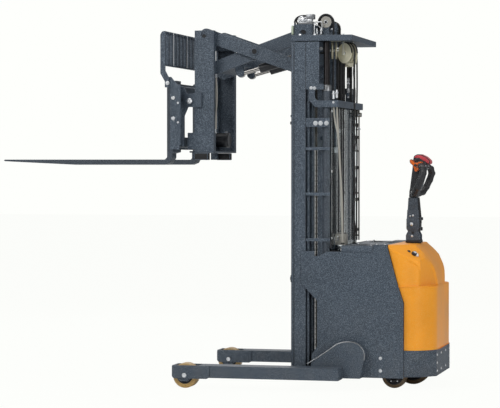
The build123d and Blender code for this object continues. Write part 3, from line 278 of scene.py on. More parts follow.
def new_finish(name, roughness, metallic=0.0, **plain):
    """A material with one Principled BSDF; plain holds the values that are the same all over."""
    material = bpy.data.materials.new(name)
    material.use_nodes = True
    tree = material.node_tree
    values = {key.replace("_", " "): value for key, value in plain.items()}
    values |= {"Roughness": roughness, "Metallic": metallic}
    FINISHES[name] = material
    return tree, feed(tree, tree.nodes["Principled BSDF"], values)


def bump(tree, shader, height, distance, strength=0.5):
    """Feed a height through a Bump node into the shader's normal."""
    values = {"Strength": strength, "Distance": distance, "Height": height}
    feed(tree, shader, {"Normal": add_node(tree, "ShaderNodeBump", values).outputs["Normal"]})


# the skin of a sprayed finish: roughness, fleck scale and amount, rubbed edges, dust, height of its peel
POWDER = (0.55, 260.0, 1.0, 0.5, 0.16, 0.0006)
GLOSS = (0.42, 260.0, 0.5, 0.2, 0.04, 0.0002)
MOULDED = (0.5, 1500.0, 0.25, 0.25, 0.12, 0.0003)
SHINY = (0.36, 1200.0, 0.1, 0.2, 0.06, 0.0001)
CAST = (0.42, 240.0, 0.3, 0.6, 0.5, 0.0004)
TURNED = (0.45, 500.0, 0.2, 0.5, 0.2, 0.0002)
GRIPPY = (0.7, 900.0, 0.3, 0.3, 0.3, 0.0004)
SATIN = (0.4, 700.0, 0.2, 0.6, 0.1, 0.0002)
DRAWN = (0.45, 700.0, 0.2, 0.1, 0.1, 0.0002)

# finish: colour (or the paint setting that holds it), flecks, skin, and what else differs
SPRAYED = {
    "frame_paint": ("frame_paint", (118, 130, 142), POWDER, {}),
    "dark_paint": ((56, 63, 71), (96, 104, 114), POWDER, {}),
    "hood_orange": (
        "hood", (255, 190, 90), GLOSS,
        {"coat": 0.06, "specular": 0.35, "bare": (250, 196, 120), "reach": 0.4},
    ),
    "black_plastic": ("plastic", (62, 64, 68), MOULDED, {"bare": (84, 86, 90)}),
    "red_plastic": ((196, 70, 78), (214, 106, 110), SHINY, {}),
    "orange_plastic": ((238, 110, 30), (250, 150, 70), SHINY, {}),
    "polyurethane": ("tread", (176, 140, 84), CAST, {"bare": (122, 104, 74), "width": 0.006}),
    "worn_tread": ((112, 86, 48), (78, 62, 40), CAST, {"bare": (122, 104, 74), "width": 0.006}),
    "nylon": ("nylon", (226, 222, 204), TURNED, {"bare": (150, 146, 128)}),
    "rubber": ((30, 30, 31), (52, 52, 52), GRIPPY, {}),
    "cylinder_paint": ((30, 32, 36), (52, 56, 62), SATIN, {}),
    "battery_case": ((58, 62, 68), (80, 84, 90), MOULDED, {}),
    "pale_hose": ((160, 157, 148), (196, 192, 182), DRAWN, {}),
    "pad": ((186, 200, 170), (206, 216, 190), DRAWN, {}),
    # painted shade: near-black for the insides of holes, joint gaps and grooves, where shade falls
    "painted_shade": ((14, 16, 20), (24, 26, 30), (0.45, 700.0, 0.2, 0.1, 0.0, 0.0002), {}),
    "tag": ((236, 236, 232), (250, 250, 248), (0.45, 700.0, 0.2, 0.1, 0.1, 0.0001), {}),
}
EVEN = (300.0, 300.0, 300.0)

# finish: tint, stain, roughness and its spread, amount of stain, depth and stretch of the ground lines
METALS = {
    "steel": ((150, 152, 154), (96, 92, 86), 0.42, 0.08, 0.5, 0.0002, EVEN),
    "zinc": ((238, 240, 242), (196, 192, 180), 0.4, 0.08, 0.3, 0.0001, EVEN),
    "chrome": ((196, 192, 186), (120, 104, 88), 0.12, 0.04, 0.25, 0.00003, (60.0, 60.0, 1400.0)),
    # the lift rods' chrome, far darker than bright chrome: painted shade for the inside of the mast, with
    # oil stains
    "oil_and_shade_chrome": ((54, 52, 52), (34, 32, 30), 0.45, 0.08, 0.6, 0.00004, (60.0, 60.0, 900.0)),
    "oiled_steel": ((86, 84, 80), (34, 32, 30), 0.42, 0.08, 0.8, 0.0002, EVEN),
}


def sprayed(name, base, fleck, look, bare=(120, 124, 128), width=0.003, reach=0.6, coat=0.0, specular=0.5):
    """A sprayed or moulded finish: flecks, clouding, rubbed edges and some dust."""
    rough, scale, flecks, wear, dust, peel = look
    plain = {"Specular_IOR_Level": specular, "Coat_Weight": coat, "Coat_Roughness": 0.25}
    tree, shader = new_finish(name, rough, **plain)
    skin = use_group(tree, "skin", Base=base, Fleck=srgb(*fleck), Fleck_Scale=scale, Fleck_Amount=flecks)
    worn = use_group(tree, "wear", Width=width, Amount=wear)
    dusty = use_group(tree, "dust", Amount=dust, Reach=reach)
    colour = blend_colour(tree, worn["Mask"], skin["Color"], srgb(*bare))
    colour = blend_colour(tree, dusty["Mask"], colour, srgb(150, 146, 136))
    gloss = remap(tree, skin["Cloud"], 0.0, 1.0, rough - 0.06, rough + 0.06)
    feed(tree, shader, {"Base Color": colour, "Roughness": gloss})
    bump(tree, shader, skin["Height"], peel)


def metal(name, tint, stain, rough, spread, stained, depth, stretch):
    """Bare or plated metal with ground lines and stains."""
    tree, shader = new_finish(name, rough, 1.0)
    values = {"Tint": srgb(*tint), "Stain": srgb(*stain), "Stain_Amount": stained}
    lines = use_group(tree, "ground", Stretch=stretch, **values)
    gloss = remap(tree, lines["Rough"], 0.0, 1.0, rough - spread, rough + spread)
    feed(tree, shader, {"Base Color": lines["Color"], "Roughness": gloss})
    bump(tree, shader, lines["Height"], depth, 0.4)


def clear_sheet(name):
    """Clear polycarbonate with a faint tint, scuffs and dust."""
    tree, shader = new_finish(name, 0.05, 0.0, Transmission_Weight=1.0, IOR=1.1)
    scuffs = remap(tree, noise_node(tree, 9.0, 7.0, 0.7), 0.5, 0.8, 0.03, 0.22)
    cloud = remap(tree, noise_node(tree, 2.0, 3.0), 0.3, 0.7)
    tint = blend_colour(tree, cloud, srgb(236, 241, 242), srgb(226, 233, 236))
    feed(tree, shader, {"Base Color": tint, "Roughness": scuffs})


class TRUCK_OT_finishes(bpy.types.Operator):
    """Make the shared shader groups and every finish"""

    bl_idname = "truck.finishes"
    bl_label = "Finishes"

    def execute(self, context):
        GROUPS["skin"] = make_speckle()
        GROUPS["wear"] = make_edge_wear()
        GROUPS["dust"] = make_dust()
        GROUPS["ground"] = make_brushed()
        for name, (base, fleck, skin, more) in SPRAYED.items():
            held = isinstance(base, str)
            colour = getattr(context.scene.truck_paint, base)[:] if held else srgb(*base)
            sprayed(name, colour, fleck, skin, **more)
        for name, look in METALS.items():
            metal(name, *look)
        clear_sheet("clear")
        return {"FINISHED"}


CAD_FINISHES = {
    "frame_paint": """outer_mast middle_mast inner_mast leg_left leg_right side_plate_left
        side_plate_right chassis_frame battery_lid rear_deck rear_skirt reach_carriage inner_arms
        outer_arms front_frame fork_carriage load_backrest tiller_base crosshead""",
    "dark_paint": "fork_left fork_right caster_fork_left caster_fork_right drive_unit lift_barrels",
    "chrome": "reach_rods tilt_rod",
    "oil_and_shade_chrome": "lift_rods",
    "cylinder_paint": "free_lift_barrel reach_barrels tilt_barrel",
    "black_plastic": "tiller_arm tiller_head",
    "oiled_steel": "carriage_chain crosshead_chain inner_chains anchor_chains chain_sheaves",
    "nylon": "hose_sheaves",
    "polyurethane": "load_wheel_left load_wheel_right caster_wheel_left caster_wheel_right drive_wheel",
    "hood_orange": "hood",
    "battery_case": "battery",
    "clear": "guard",
}
STAYS_SHARP = {"guard", "battery"}


class TRUCK_OT_bodywork(bpy.types.Operator):
    """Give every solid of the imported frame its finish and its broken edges"""

    bl_idname = "truck.bodywork"
    bl_label = "Bodywork"

    def execute(self, context):
        for finish, names in CAD_FINISHES.items():
            for name in names.split():
                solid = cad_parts[name]
                solid.data.materials.clear()
                solid.data.materials.append(FINISHES[finish])
                if name not in STAYS_SHARP:
                    solid.modifiers.new("Weld", "WELD").merge_threshold = 0.00002
                    edges = solid.modifiers.new("Broken edges", "BEVEL")
                    edges.width = context.scene.truck_sizes.edge
                    edges.segments = 2
                    edges.limit_method = "ANGLE"
                    edges.angle_limit = radians(35)
        return {"FINISHED"}


# ---------------------------------------------------------------- shapes


def corner_arc(start, corner, end, steps):
    """Points of an arc that turns a corner, from one point beside it to the other."""
    shares = [step / steps for step in range(steps + 1)]
    return [start * (1 - t) ** 2 + corner * 2 * t * (1 - t) + end * t * t for t in shares]


def rounded(points, radius, steps=4):
    """A closed outline with each corner turned by an arc of about this radius."""
    turned = []
    for i, corner in enumerate(points):
        corner = Vector(corner)
        before = Vector(points[i - 1]) - corner
        after = Vector(points[(i + 1) % len(points)]) - corner
        reach = min(radius, before.length * 0.45, after.length * 0.45)
        start, end = corner + before.normalized() * reach, corner + after.normalized() * reach
        turned += corner_arc(start, corner, end, steps)
    return turned


def rounded_line(points, radius, steps=4):
    """An open line of straight runs with rounded corners."""
    points = [Vector(p) for p in points]
    line = [points[0]]
    for before, corner, after in zip(points, points[1:], points[2:]):
        start = corner + (before - corner).normalized() * radius
        end = corner + (after - corner).normalized() * radius
        line += corner_arc(start, corner, end, steps)
    return line + [points[-1]]


def smooth_path(points, steps=6):
    """A smooth line through the points."""
    points = [Vector(p) for p in points]
    line = []
    for i in range(len(points) - 1):
        before = points[i - 1] if i else points[0] * 2 - points[1]
        after = points[i + 2] if i + 2 < len(points) else points[-1] * 2 - points[-2]
        first, second = points[i], points[i + 1]
        for step in range(steps):
            t = step / steps
            line.append(
                first
                + (second - before) * 0.5 * t
                + (before * 2 - first * 5 + second * 4 - after) * 0.5 * t * t
                + (first * 3 - before - second * 3 + after) * 0.5 * t ** 3
            )
    return line + [points[-1]]


def mirrored(half):
    """A profile from its first half, the rest being its mirror image along the axis."""
    return half + [(-level, radius) for level, radius in reversed(half)]


def new_object(name, data):
    """An object in the scene for a mesh, a lamp or a camera."""
    obj = bpy.data.objects.new(name, data)
    bpy.context.scene.collection.objects.link(obj)
    return obj


def mesh_object(name, points, edges=(), faces=()):
    """An object from plain points, edges and faces."""
    mesh = bpy.data.meshes.new(name)
    mesh.from_pydata(points, edges, faces)
    return new_object(name, mesh)


def apply_modifiers(obj):
    """Turn an object with modifiers into a plain mesh."""
    graph = bpy.context.evaluated_depsgraph_get()
    mesh = bpy.data.meshes.new_from_object(obj.evaluated_get(graph))
    obj.modifiers.clear()
    old = obj.data
    obj.data = mesh
    bpy.data.meshes.remove(old)


class Piece:
    """Gathers shapes given in the part's millimetres into one mesh that rides on one body."""

    def __init__(self, name, mesh=None):
        self.name = name
        self.mesh = bmesh.new() if mesh is None else mesh
        self.finishes = []

    def paint(self, faces, finish):
        """Give faces a finish."""
        if finish not in self.finishes:
            self.finishes.append(finish)
        for face in faces:
            face.material_index = self.finishes.index(finish)

    def add(self, points, faces, finish, bevel=0.0):
        """A shape from its points and faces, its sharp edges broken by bevel."""
        verts = [self.mesh.verts.new(point) for point in points]
        made = [self.mesh.faces.new([verts[i] for i in face]) for face in faces]
        self.paint(made, finish)
        if bevel:
            bmesh.ops.recalc_face_normals(self.mesh, faces=made)
            edges = {edge for face in made for edge in face.edges}
            sharp = [edge for edge in edges if edge.calc_face_angle(0.0) > 0.5]
            bmesh.ops.bevel(self.mesh, geom=sharp, offset=bevel, segments=2, profile=0.5, affect="EDGES")

    def prism(self, outline, axis, low, high, finish, bevel=0.0):
        """An outline on the two other axes, in their order, drawn along an axis."""
        points = []
        for level in (low, high):
            for u, v in outline:
                place = [u, v]
                place.insert("XYZ".index(axis), level)
                points.append(place)
        n = len(outline)
        faces = [(i, (i + 1) % n, n + (i + 1) % n, n + i) for i in range(n)]
        faces += [tuple(range(n - 1, -1, -1)), tuple(range(n, 2 * n))]
        self.add(points, faces, finish, bevel)

    def plate(self, outline, radius, low, high, finish, bevel, steps=2):
        """A plate between two levels of Y, the corners of its outline rounded."""
        self.prism(rounded(outline, radius, steps), "Y", low, high, finish, bevel)

    def blocks(self, finish, bevel, *boxes):
        """Boxes given by two levels of X, of Y and of Z, their edges broken."""
        for x, u, y, v, low, high in boxes:
            self.prism([(x, y), (u, y), (u, v), (x, v)], "Z", low, high, finish, bevel)

    def lathe(self, centre, along, profile, finish, sides=32):
        """A profile of (distance along, radius) turned about a line through centre."""
        turn = Vector(along).to_track_quat("Z", "Y")
        points, rings = [], []
        for level, radius in profile:
            count = sides if radius > 0 else 1
            rings.append([len(points) + i for i in range(count)])
            for i in range(count):
                a = 2 * pi * i / sides
                points.append(Vector(centre) + turn @ Vector((cos(a) * radius, sin(a) * radius, level)))
        faces = []
        for low, high in zip(rings, rings[1:]):
            for i in range(sides):
                j = (i + 1) % sides
                face = (low[i % len(low)], low[j % len(low)], high[j % len(high)], high[i % len(high)])
                faces.append(tuple(dict.fromkeys(face)))
        self.add(points, faces, finish)

    def rods(self, finish, along, radius, length, *centres, chamfer=1.0, sides=24):
        """Round bars with broken ends, or hexagons where they have six sides."""
        half = length / 2
        end = [(-half, 0), (-half, radius - chamfer), (-half + chamfer, radius)]
        for centre in centres:
            self.lathe(centre, along, mirrored(end), finish, sides)

    def tube(self, path, radius, finish, sides=8, steps=5):
        """A round tube or hose that follows a smooth line, or the points themselves with no steps."""
        line = smooth_path(path, steps) if steps else [Vector(p) for p in path]
        points, faces = [], []
        side = None
        for i, place in enumerate(line):
            ahead = (line[min(i + 1, len(line) - 1)] - line[max(i - 1, 0)]).normalized()
            if side is None:
                side = ahead.orthogonal().normalized()
            side = (side - ahead * side.dot(ahead)).normalized()
            other = ahead.cross(side)
            for k in range(sides):
                a = 2 * pi * k / sides
                points.append(place + side * cos(a) * radius + other * sin(a) * radius)
        for i in range(len(line) - 1):
            for k in range(sides):
                j = (k + 1) % sides
                faces.append((i * sides + k, i * sides + j, (i + 1) * sides + j, (i + 1) * sides + k))
        last = (len(line) - 1) * sides
        faces += [tuple(range(sides - 1, -1, -1)), tuple(range(last, last + sides))]
        self.add(points, faces, finish)

    def coil(self, centre, along, radius, wire, turns, pitch, finish, steps=14):
        """A wound spring."""
        turn = Vector(along).to_track_quat("Z", "Y")
        line = []
        for i in range(int(turns * steps) + 1):
            a = 2 * pi * i / steps
            level = pitch * (i / steps - turns / 2)
            line.append(Vector(centre) + turn @ Vector((cos(a) * radius, sin(a) * radius, level)))
        self.tube(line, wire, finish, 6, 0)

    def both_sides(self):
        """Repeat everything so far on the other side of the truck's middle plane."""
        doubled = bmesh.ops.duplicate(self.mesh, geom=self.mesh.faces[:])["geom"]
        for vert in (item for item in doubled if isinstance(item, bmesh.types.BMVert)):
            vert.co.y = -vert.co.y
        faces = [item for item in doubled if isinstance(item, bmesh.types.BMFace)]
        bmesh.ops.reverse_faces(self.mesh, faces=faces)

    def written(self, place=Vector):
        """The mesh as an object, its faces turned outward and its points set by place."""
        bmesh.ops.recalc_face_normals(self.mesh, faces=self.mesh.faces)
        for vert in self.mesh.verts:
            vert.co = place(vert.co)
        mesh = bpy.data.meshes.new(self.name)
        self.mesh.to_mesh(mesh)
        self.mesh.free()
        return new_object(self.name, mesh)

    def done(self, body, *nodes, slot=None, angle=34):
        """Make the object, in the frame's metres, and declare what it rides on and stands for."""
        obj = self.written(lambda point: part(*point))
        for finish in self.finishes:
            obj.data.materials.append(FINISHES[finish])
        return declare(obj, body, nodes, angle)


def declare(obj, body, nodes=(), angle=34):
    """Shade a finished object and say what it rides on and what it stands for."""
    obj.data.shade_smooth()
    obj.data.set_sharp_from_angle(angle=radians(angle))
    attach(obj, body)
    if nodes:
        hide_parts(*nodes)
    return obj


# ---------------------------------------------------------------- moulded skins


def both(first, second, width):
    """What two fields share, rounded by width where they meet; a field is negative inside."""
    share = np.clip(0.5 + 0.5 * (first - second) / width, 0.0, 1.0)
    return second + (first - second) * share + width * share * (1.0 - share)


def either(first, second, width):
    """Two fields joined with a fillet of about this width."""
    return -both(-first, -second, width)


def beyond(place, on, normal):
    """The distance from a plane through a point, positive on the side of its normal."""
    size = hypot(*normal)
    return sum((p - o) * n / size for p, o, n in zip(place, on, normal))


def corners_field(u, v, corners, width):
    """A convex outline given by corners that run anticlockwise, open at its two ends."""
    field = None
    for (u0, v0), (u1, v1) in zip(corners, corners[1:]):
        size = hypot(u1 - u0, v1 - v0)
        edge = (u - u0) * (v1 - v0) / size - (v - v0) * (u1 - u0) / size
        field = edge if field is None else both(field, edge, width)
    return field


def implicit_skin(field, low, high, cell):
    """A mesh of a field's zero surface, by surface nets, its points pulled onto the field."""
    axes = [np.arange(a, b + cell, cell) for a, b in zip(low, high)]
    value = field(*np.meshgrid(*axes, indexing="ij"))
    shape = tuple(n - 1 for n in value.shape)
    total = np.zeros(shape + (3,))
    count = np.zeros(shape)
    rings = []
    for axis in range(3):
        near = np.take(value, range(value.shape[axis] - 1), axis)
        far = np.take(value, range(1, value.shape[axis]), axis)
        index = np.stack(np.nonzero((near < 0) != (far < 0)), axis=1)
        start, end = near[tuple(index.T)], far[tuple(index.T)]
        place = np.stack([axes[i][index[:, i]] for i in range(3)], axis=1)
        place[:, axis] += cell * start / (start - end)
        ring = []
        for du, dv in ((-1, -1), (0, -1), (0, 0), (-1, 0)):
            cube = index.copy()
            cube[:, (axis + 1) % 3] += du
            cube[:, (axis + 2) % 3] += dv
            ring.append(cube)
        ring = np.stack(ring, axis=1)
        inside = ((ring >= 0) & (ring < np.array(shape))).all(axis=2)
        for cube in range(4):
            good = inside[:, cube]
            np.add.at(total, tuple(ring[good, cube].T), place[good])
            np.add.at(count, tuple(ring[good, cube].T), 1)
        turned = np.where((start > 0)[:, None, None], ring[:, ::-1], ring)
        rings.append(turned[inside.all(axis=1)])
    used = count > 0
    number = np.full(shape, -1)
    number[used] = np.arange(used.sum())
    points = total[used] / count[used][:, None]
    step = cell * 0.02
    for _ in range(3):
        here = field(*points.T)
        ahead = [field(*(points + step * axis).T) - here for axis in np.eye(3)]
        slope = np.stack(ahead, axis=1) / step
        move = -here[:, None] * slope / np.maximum((slope**2).sum(axis=1), 0.05)[:, None]
        points += np.clip(move, -cell * 0.4, cell * 0.4)
    mesh = bmesh.new()
    verts = [mesh.verts.new(point) for point in points]
    for ring in rings:
        for quad in number[tuple(np.moveaxis(ring, 2, 0))]:
            mesh.faces.new([verts[i] for i in quad])
    return mesh


def cut_skin(skin, on, away):
    """Cut off what lies beyond a plane."""
    whole = skin.faces[:] + skin.edges[:] + skin.verts[:]
    bmesh.ops.bisect_plane(skin, geom=whole, plane_co=on, plane_no=away, clear_outer=True)


# ---------------------------------------------------------------- hood


HOOD_FRONT = ((234, -1168), (518, -1168), (648, -1126), (862, -1069))
HOOD_REAR = (
    (-900, 862), (-1202, 862), (-1224, 846), (-1264, 808),
    (-1300, 758), (-1324, 712), (-1334, 655), (-1334, 0),
)
HOOD_PLAN = ((-900, 384), (-1168, 384), (-1270, 352), (-1346, 262), (-1346, 0))
RECESS_PLAN = ((-900, 384), (-1150, 384), (-1256, 344), (-1334, 136), (-1334, 0))
VISOR_FACING = (-0.443, 0.406, 0.799)
SKIN_THICKNESS = 7


def hood_front(z):
    """Where the hood meets the side plate, at a height."""
    return np.interp(z, [level for level, _ in HOOD_FRONT], [x for _, x in HOOD_FRONT])


def hood_field(x, y, z):
    """The moulded hood: a full lower body, a central spine and recessed sides under visors."""
    x = x + hood_front(z) - hood_front(862)
    side = np.abs(y)
    outer = corners_field(x, side, HOOD_PLAN, 26)
    low = both(outer, z - 613, 8)
    back = corners_field(x, z, HOOD_REAR, 10)
    taper = np.clip(800 - z, 0, 200) * 0.5
    spine = both((side - 240 + taper) * 0.9, back, 14)
    recess = corners_field(x, side, RECESS_PLAN, 12)
    place = (x, side, z)
    top = beyond(place, (-1069, 384, 852), VISOR_FACING)
    under = beyond(place, (-1069, 384, 828), (0.244, 0.682, -0.69))
    tip = beyond(place, (-1268, 358, 765), (-0.94, -0.34, 0.0))
    visor = both(both(outer, top, 5), both(under, tip, 10), 5)
    sunk = both(both(recess, top + 3, 8), back, 12)
    body = either(either(sunk, spine, 9), visor, 5)
    return both(either(low, body, 7), z - 862, 6)


class TRUCK_OT_hood(bpy.types.Operator):
    """Mould the hood over the drive unit, with the tiller's collar"""

    bl_idname = "truck.hood"
    bl_label = "Hood"

    def execute(self, context):
        cell = 5.0
        skin = implicit_skin(hood_field, (-1352, -392, 226), (-1060, 392, 870), cell)
        cut_skin(skin, (-1069, 0, 0), FRONT)
        cut_skin(skin, (0, 0, 234), (0, 0, -1))
        rim = [edge for edge in skin.edges if edge.is_boundary]
        normals = {v: v.normal.copy() for v in {v for edge in rim for v in edge.verts}}
        lip = bmesh.ops.extrude_edge_only(skin, edges=rim)["geom"]
        skin.normal_update()
        for vert in (item for item in lip if isinstance(item, bmesh.types.BMVert)):
            near = min(normals, key=lambda v: (v.co - vert.co).length_squared)
            vert.co -= normals[near] * SKIN_THICKNESS
        for vert in skin.verts:
            vert.co.x += float(hood_front(vert.co.z)) - HOOD_FRONT[-1][1]
        piece = Piece("hood_skin", skin)
        piece.paint(skin.faces, "hood_orange")
        collar = [(-1, 0), (-1, 44), (2, 47), (5, 46), (7, 40), (7, 0)]
        piece.lathe((-1165, 0, 862), UP, collar, "rubber", 40)
        piece.done("chassis", "hood", slot="hood_orange", angle=50)
        return {"FINISHED"}


# ---------------------------------------------------------------- tiller


LOOP = (
    (-1168, 26, 1174), (-1178, 84, 1160), (-1194, 140, 1168), (-1212, 168, 1200),
    (-1232, 176, 1244), (-1247, 172, 1286), (-1242, 152, 1316), (-1228, 112, 1330),
    (-1216, 66, 1334), (-1210, 30, 1328),
)
LOOP_RADIUS = 17.0
TILLER_NECK = (
    (-1136, 1140), (-1142, 1200), (-1166, 1384), (-1222, 1384),
    (-1216, 1300), (-1192, 1140), (-1136, 1140),
)
TILLER_HEAD = (
    (-1160, 1340), (-1165, 1374), (-1200, 1386), (-1250, 1356),
    (-1252, 1334), (-1200, 1312), (-1160, 1340),
)
TILLER_CAP = (
    (-1168, 1378), (-1172, 1394), (-1190, 1403), (-1212, 1403), (-1244, 1388), (-1270, 1364),
    (-1270, 1346), (-1258, 1340), (-1240, 1354), (-1210, 1372), (-1186, 1376),
)
TILLER_WING = (
    (-1148, 1368), (-1162, 1374), (-1184, 1352), (-1220, 1362), (-1231, 1350),
    (-1206, 1308), (-1190, 1292), (-1177, 1302), (-1170, 1334), (-1152, 1350),
)
TILLER_WEDGE = (
    (-1206, 1338), (-1240, 1330), (-1236, 1284), (-1216, 1216),
    (-1190, 1164), (-1176, 1150), (-1182, 1210), (-1196, 1290),
)
# half the width and the outline of the covers over the tiller's stem, from the top
TILLER_COVERS = {
    41: ((-1136, 1138), (-1191, 1138), (-1196, 1060), (-1132, 1060)),
    44: ((-1130, 1066), (-1198, 1066), (-1202, 990), (-1204, 968), (-1127, 968), (-1127, 1010)),
    47: ((-1125, 1012), (-1203, 1012), (-1204, 952), (-1190, 932), (-1136, 932), (-1125, 948)),
}


def loop_field(x, side, z):
    """A loop handle that bulges to the rear, from its middle line."""
    field = None
    for first, second in zip(LOOP, LOOP[1:]):
        run = [b - a for a, b in zip(first, second)]
        size = sum(r * r for r in run)
        offset = [p - a for p, a in zip((x, side, z), first)]
        share = np.clip(sum(o * r for o, r in zip(offset, run)) / size, 0.0, 1.0)
        gap = [o - share * r for o, r in zip(offset, run)]
        bar = np.sqrt((gap[0] * 0.8) ** 2 + gap[1] ** 2 + gap[2] ** 2) - LOOP_RADIUS
        field = bar if field is None else either(field, bar, 5)
    return field


def tiller_field(x, y, z):
    """The tiller head: a leaning neck, a wider control head and a loop handle on each side."""
    side = np.abs(y)
    stem = both(corners_field(x, z, TILLER_NECK, 9), side - 38 + (z - 1140) * 0.03, 12)
    top = both(corners_field(x, z, TILLER_HEAD, 9), side - 54, 12)
    return either(either(stem, top, 12), loop_field(x, side, z), 12)


class TRUCK_OT_tiller(bpy.types.Operator):
    """Mould the tiller head and fit its switches and covers"""

    bl_idname = "truck.tiller"
    bl_label = "Tiller"

    def execute(self, context):
        cell = 3.4
        skin = implicit_skin(tiller_field, (-1290, -186, 1134), (-1126, 186, 1408), cell)
        cut_skin(skin, (0, 0, 1141), (0, 0, -1))
        bmesh.ops.holes_fill(skin, edges=[edge for edge in skin.edges if edge.is_boundary])
        piece = Piece("tiller_head_skin", skin)
        piece.paint(skin.faces, "black_plastic")
        piece.plate(TILLER_CAP, 5, -50, 50, "red_plastic", 5, 3)
        for side in (1, -1):
            near, lever, tip = 56 * side, 78.4 * side, 123.2 * side
            piece.plate(TILLER_WING, 6, near, 80 * side, "orange_plastic", 3, 3)
            piece.rods("black_plastic", OUT, 9, 44, (-1186, 61.2 * side, 1336), chamfer=2)
            face = near * 1.12
            # two small bright zinc strips on each loop's top: painted glints on the loops
            for x, u, low, high in ((-1250, -1226, 1328, 1335), (-1246, -1220, 1312, 1317)):
                piece.blocks("zinc", 1, (x, u, near, face, low, high))
            piece.blocks("steel", 2, (-1226, -1196, lever, tip, 1322, 1328))
        piece.plate(TILLER_WEDGE, 4, -43, 43, "dark_paint", 4)
        for level in (1180, 1206, 1232, 1258):
            x = -1152 - (level - 1180) * 0.17
            piece.blocks("rubber", 1, (x, x + 3.5, -26, 26, level, level + 8))
        piece.done("tiller", "tiller_head", slot="black_plastic", angle=48)

        arm = Piece("tiller_covers")
        for half, shape in TILLER_COVERS.items():
            arm.plate(shape, 5, -half, half, "dark_paint", 2)
        for side in (1, -1):
            arm.rods("rubber", FRONT, 5, 8, (-1200, side * 30, 966))
            arm.blocks(
                "rubber", 3,
                (-1212, -1196, side * 20, side * 44, 936, 958),
                (-1214, -1190, side * 26, side * 46, 1000, 1018),
            )
        arm.tube([(-1196, 0, 1130), (-1201, 0, 1080), (-1207, 2, 1020), (-1209, 2, 985)], 4, "rubber")
        arm.done("tiller")

        base = Piece("tiller_foot")
        base.lathe((-1165, 0, 866), UP, [(-1, 0), (-1, 52), (4, 53), (7, 50), (7, 0)], "rubber", 40)
        foot = [(-1212, -50), (-1120, -50), (-1120, 50), (-1212, 50)]
        base.prism(rounded(foot, 8), "Z", 867, 881, "black_plastic", 2)
        base.blocks("dark_paint", 3, (-1190, -1140, -33, 33, 880, 892))
        base.done("steering")
        return {"FINISHED"}


# ---------------------------------------------------------------- chains


def tree_modifier(obj, tree, values):
    """Put a Geometry Nodes tree on an object, its inputs set before it first runs, and apply it."""
    modifier = obj.modifiers.new("Nodes", "NODES")
    modifier.node_group = tree
    for item in tree.interface.items_tree:
        if item.item_type == "SOCKET" and item.in_out == "INPUT" and item.name in values:
            modifier[item.identifier] = values[item.name]
    apply_modifiers(obj)


def geometry_tree(name, *inputs):
    """A Geometry Nodes tree with these inputs: it, its inputs' sockets and its output node."""
    tree = bpy.data.node_groups.new(name, "GeometryNodeTree")
    tree.interface.new_socket("Geometry", in_out="INPUT", socket_type="NodeSocketGeometry")
    for label, kind in (*inputs, ("Finish", "NodeSocketMaterial")):
        tree.interface.new_socket(label, in_out="INPUT", socket_type=kind)
    tree.interface.new_socket("Geometry", in_out="OUTPUT", socket_type="NodeSocketGeometry")
    return tree, tree.nodes.new("NodeGroupInput").outputs, tree.nodes.new("NodeGroupOutput")


def finish_instances(tree, instances, material, outlet):
    """Realize what was instanced, give it its material and put it out."""
    real = add_node(tree, "GeometryNodeRealizeInstances", {"Geometry": instances})
    coat = add_node(tree, "GeometryNodeSetMaterial", {"Geometry": real.outputs[0], "Material": material})
    feed(tree, outlet, {"Geometry": coat.outputs[0]})
    return tree


def chain_tree():
    """Leaf chain along a line: two link shapes turn by turn, one pitch apart."""
    links = (("Pitch", FLOAT), ("Even Link", "NodeSocketObject"), ("Odd Link", "NodeSocketObject"))
    tree, inlet, outlet = geometry_tree("Leaf chain", *links)
    curve = add_node(tree, "GeometryNodeMeshToCurve", {"Mesh": inlet["Geometry"]})
    along = {"Curve": curve.outputs[0], "Length": inlet["Pitch"]}
    pins = add_node(tree, "GeometryNodeResampleCurve", along, mode="LENGTH").outputs[0]
    tangent = add_node(tree, "GeometryNodeInputTangent").outputs[0]
    axes = {"axis": "Z", "pivot_axis": "Y"}
    turn = add_node(tree, "FunctionNodeAlignRotationToVector", {"Vector": tangent}, **axes).outputs[0]
    index = add_node(tree, "GeometryNodeInputIndex").outputs[0]
    odd = math_node(tree, "MODULO", index, 2.0)
    even = math_node(tree, "SUBTRACT", 1.0, odd)
    joined = add_node(tree, "GeometryNodeJoinGeometry")
    for label, chosen in (("Even Link", even), ("Odd Link", odd)):
        link = add_node(tree, "GeometryNodeObjectInfo", {"Object": inlet[label]}).outputs["Geometry"]
        values = {"Points": pins, "Selection": chosen, "Instance": link, "Rotation": turn}
        placed = add_node(tree, "GeometryNodeInstanceOnPoints", values)
        tree.links.new(placed.outputs[0], joined.inputs[0])
    return finish_instances(tree, joined.outputs[0], inlet["Finish"], outlet)


def drop(*objects):
    """Remove templates and lines that have been used."""
    for obj in objects:
        data = obj.data
        bpy.data.objects.remove(obj)
        bpy.data.meshes.remove(data)


def chain_link(name, offsets, pitch, pin, height=0.0055):
    """Leaf chain plates side by side, in metres, and the pin at their upper end."""
    piece = Piece(name)
    tip, shoulder = pitch * 0.5 + height * 0.4, pitch * 0.5 - height * 0.4
    near, wide = height * 0.6, height * 1.02
    outline = [
        (-near, -tip), (near, -tip), (wide, -shoulder), (wide, shoulder),
        (near, tip), (-near, tip), (-wide, shoulder), (-wide, -shoulder),
    ]
    for offset in offsets:
        piece.prism(outline, "Y", offset - 0.0013, offset + 0.0013, "oiled_steel")
    piece.rods("oiled_steel", OUT, 0.0026, pin, (0, 0, pitch / 2), chamfer=0.0004, sides=8)
    return piece.written()


def over_sheave(centre, radius, y, low_front, low_rear):
    """The line of a chain up one side of a sheave and down the other."""
    x, z = centre
    arc = [(x + radius * cos(a), y, z + radius * sin(a)) for a in np.linspace(0, pi, 17)]
    return [(x + radius, y, low_front)] + arc + [(x - radius, y, low_rear)]


